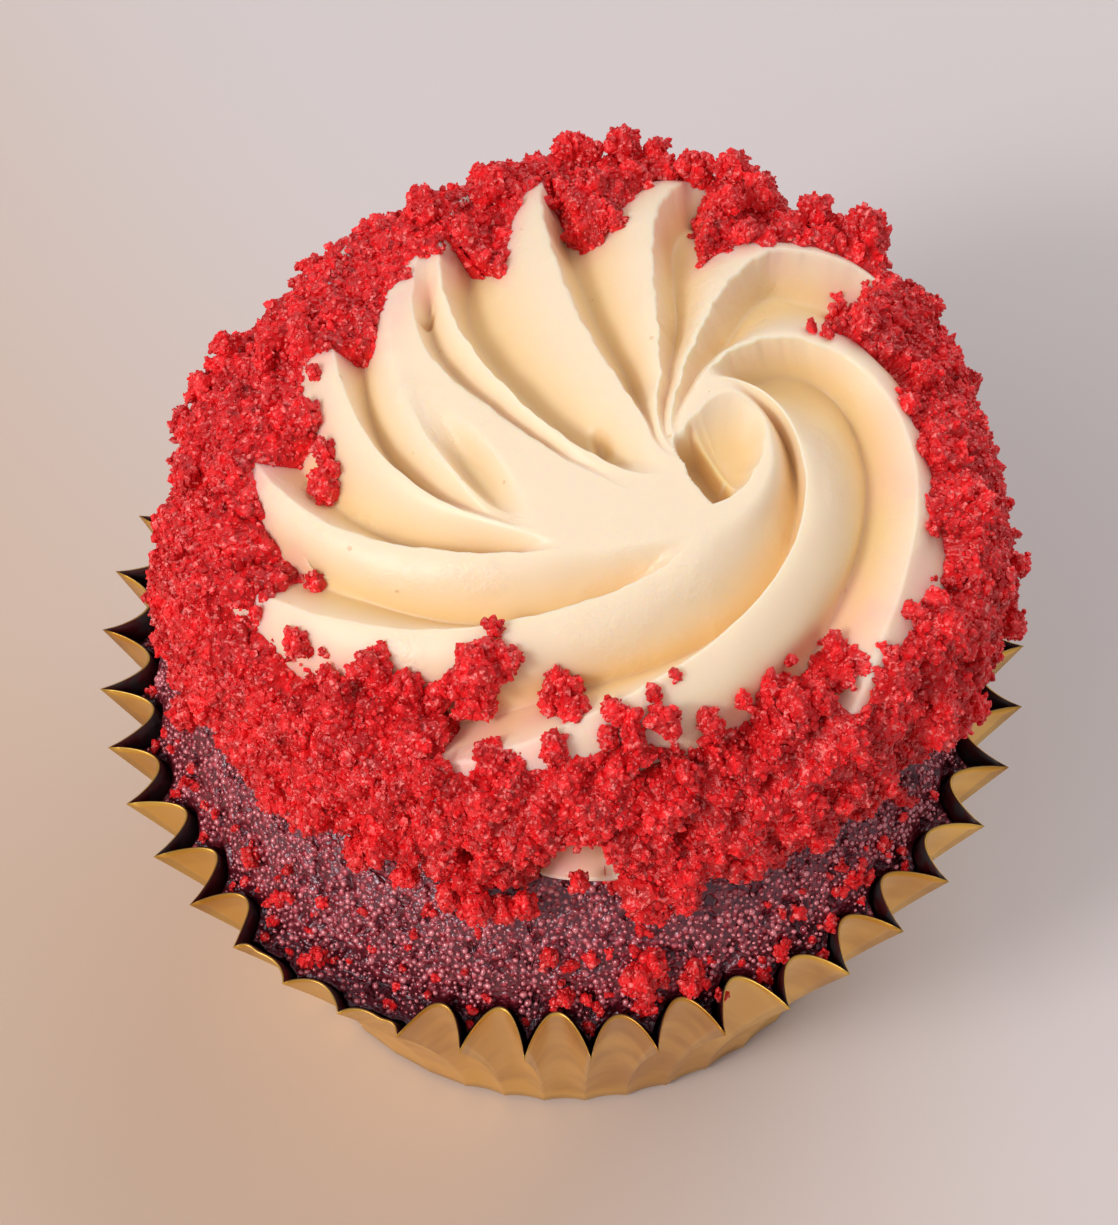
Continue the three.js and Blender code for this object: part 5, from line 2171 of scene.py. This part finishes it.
LAMPS = (
    Lamp("window", (-0.41, -0.32, 0.50), 0.55, 1.8, (1.0, 0.965, 0.93)),
    Lamp("sparkle", (-0.41, -0.32, 0.50), 0.15, 1.95, (1.0, 0.975, 0.94)),
    Lamp("fill", (0.34, 0.44, 0.52), 0.7, 2.5, (1.0, 0.98, 0.95)),
)


@dataclass
class Studio:
    """The table, the lights and the camera."""

    elevation: float = math.radians(57.0)
    distance: float = 236.36 * MM
    target: tuple[float, float, float] = (-0.115 * MM, 2.350 * MM, 32.0 * MM)
    roll: float = math.radians(-1.514)
    lens: float = 88.71
    sensor: float = 36.0
    table_reach: float = 2.0
    aim_height: float = 45 * MM
    sky_colour: tuple[float, ...] = (0.93, 0.95, 1.0, 1.0)
    sky_strength: float = 0.44

    def camera(self) -> None:
        """Stand the camera in front of the cupcake, looking down on it."""
        data = bpy.data.cameras.new("camera")
        data.lens = self.lens
        data.sensor_width = self.sensor
        data.clip_start, data.clip_end = 0.01, 10.0
        made = bpy.data.objects.new("camera", data)
        back = Vector((0.0, -math.cos(self.elevation), math.sin(self.elevation)))
        turn = (-back).to_track_quat("-Z", "Y").to_matrix() @ Matrix.Rotation(self.roll, 3, "Z")
        made.matrix_world = Matrix.Translation(Vector(self.target) + back * self.distance) @ turn.to_4x4()
        bpy.context.scene.collection.objects.link(made)
        bpy.context.scene.camera = made

    def table(self) -> None:
        """Lay the pale table under the cupcake."""
        far = self.table_reach
        corners = np.array([(-far, -far, 0.0), (far, -far, 0.0), (far, far, 0.0), (-far, far, 0.0)])
        made = mesh_object("table", corners, [(0, 1, 2, 3)], False)
        made.data.materials.append(TableFinish().material())

    def hang(self, lamp: Lamp) -> None:
        """Hang one soft light that faces the cupcake.

        Args:
            lamp: The light.
        """
        data = bpy.data.lights.new(lamp.name, "AREA")
        data.shape, data.size = "SQUARE", lamp.side
        data.energy, data.color = lamp.power, lamp.colour
        made = bpy.data.objects.new(lamp.name, data)
        place = Vector(lamp.place)
        aim = (Vector((0.0, 0.0, self.aim_height)) - place).to_track_quat("-Z", "Y")
        made.matrix_world = Matrix.Translation(place) @ aim.to_matrix().to_4x4()
        bpy.context.scene.collection.objects.link(made)

    def build(self) -> None:
        """Set the table, the lights, the sky and the camera."""
        self.camera()
        self.table()
        for lamp in LAMPS:
            self.hang(lamp)
        world = bpy.data.worlds.new("sky")
        bpy.context.scene.world = world
        world.use_nodes = True
        tree = Tree(world.node_tree)
        sky = {"Color": self.sky_colour, "Strength": self.sky_strength}
        glow = tree.node("ShaderNodeBackground", sky)
        tree.node("ShaderNodeOutputWorld", {"Surface": glow.outputs[0]})
        bpy.context.scene.view_settings.view_transform = "Standard"


def main() -> None:
    """Build the setting and every piece of the cupcake in order."""
    logging.basicConfig(level=logging.INFO, format="%(name)s: %(message)s")
    Studio().build()
    case = FoilCase()
    case.build()
    sponge = Sponge(case)
    sponge.build()
    swirl = Swirl(sponge)
    crumbs = Crumbs(swirl)
    sponge.knobs(crumbs.past_coat)
    cream = swirl.build(crumbs)
    crumbs.build(cream)


if __name__ == "__main__":
    main()
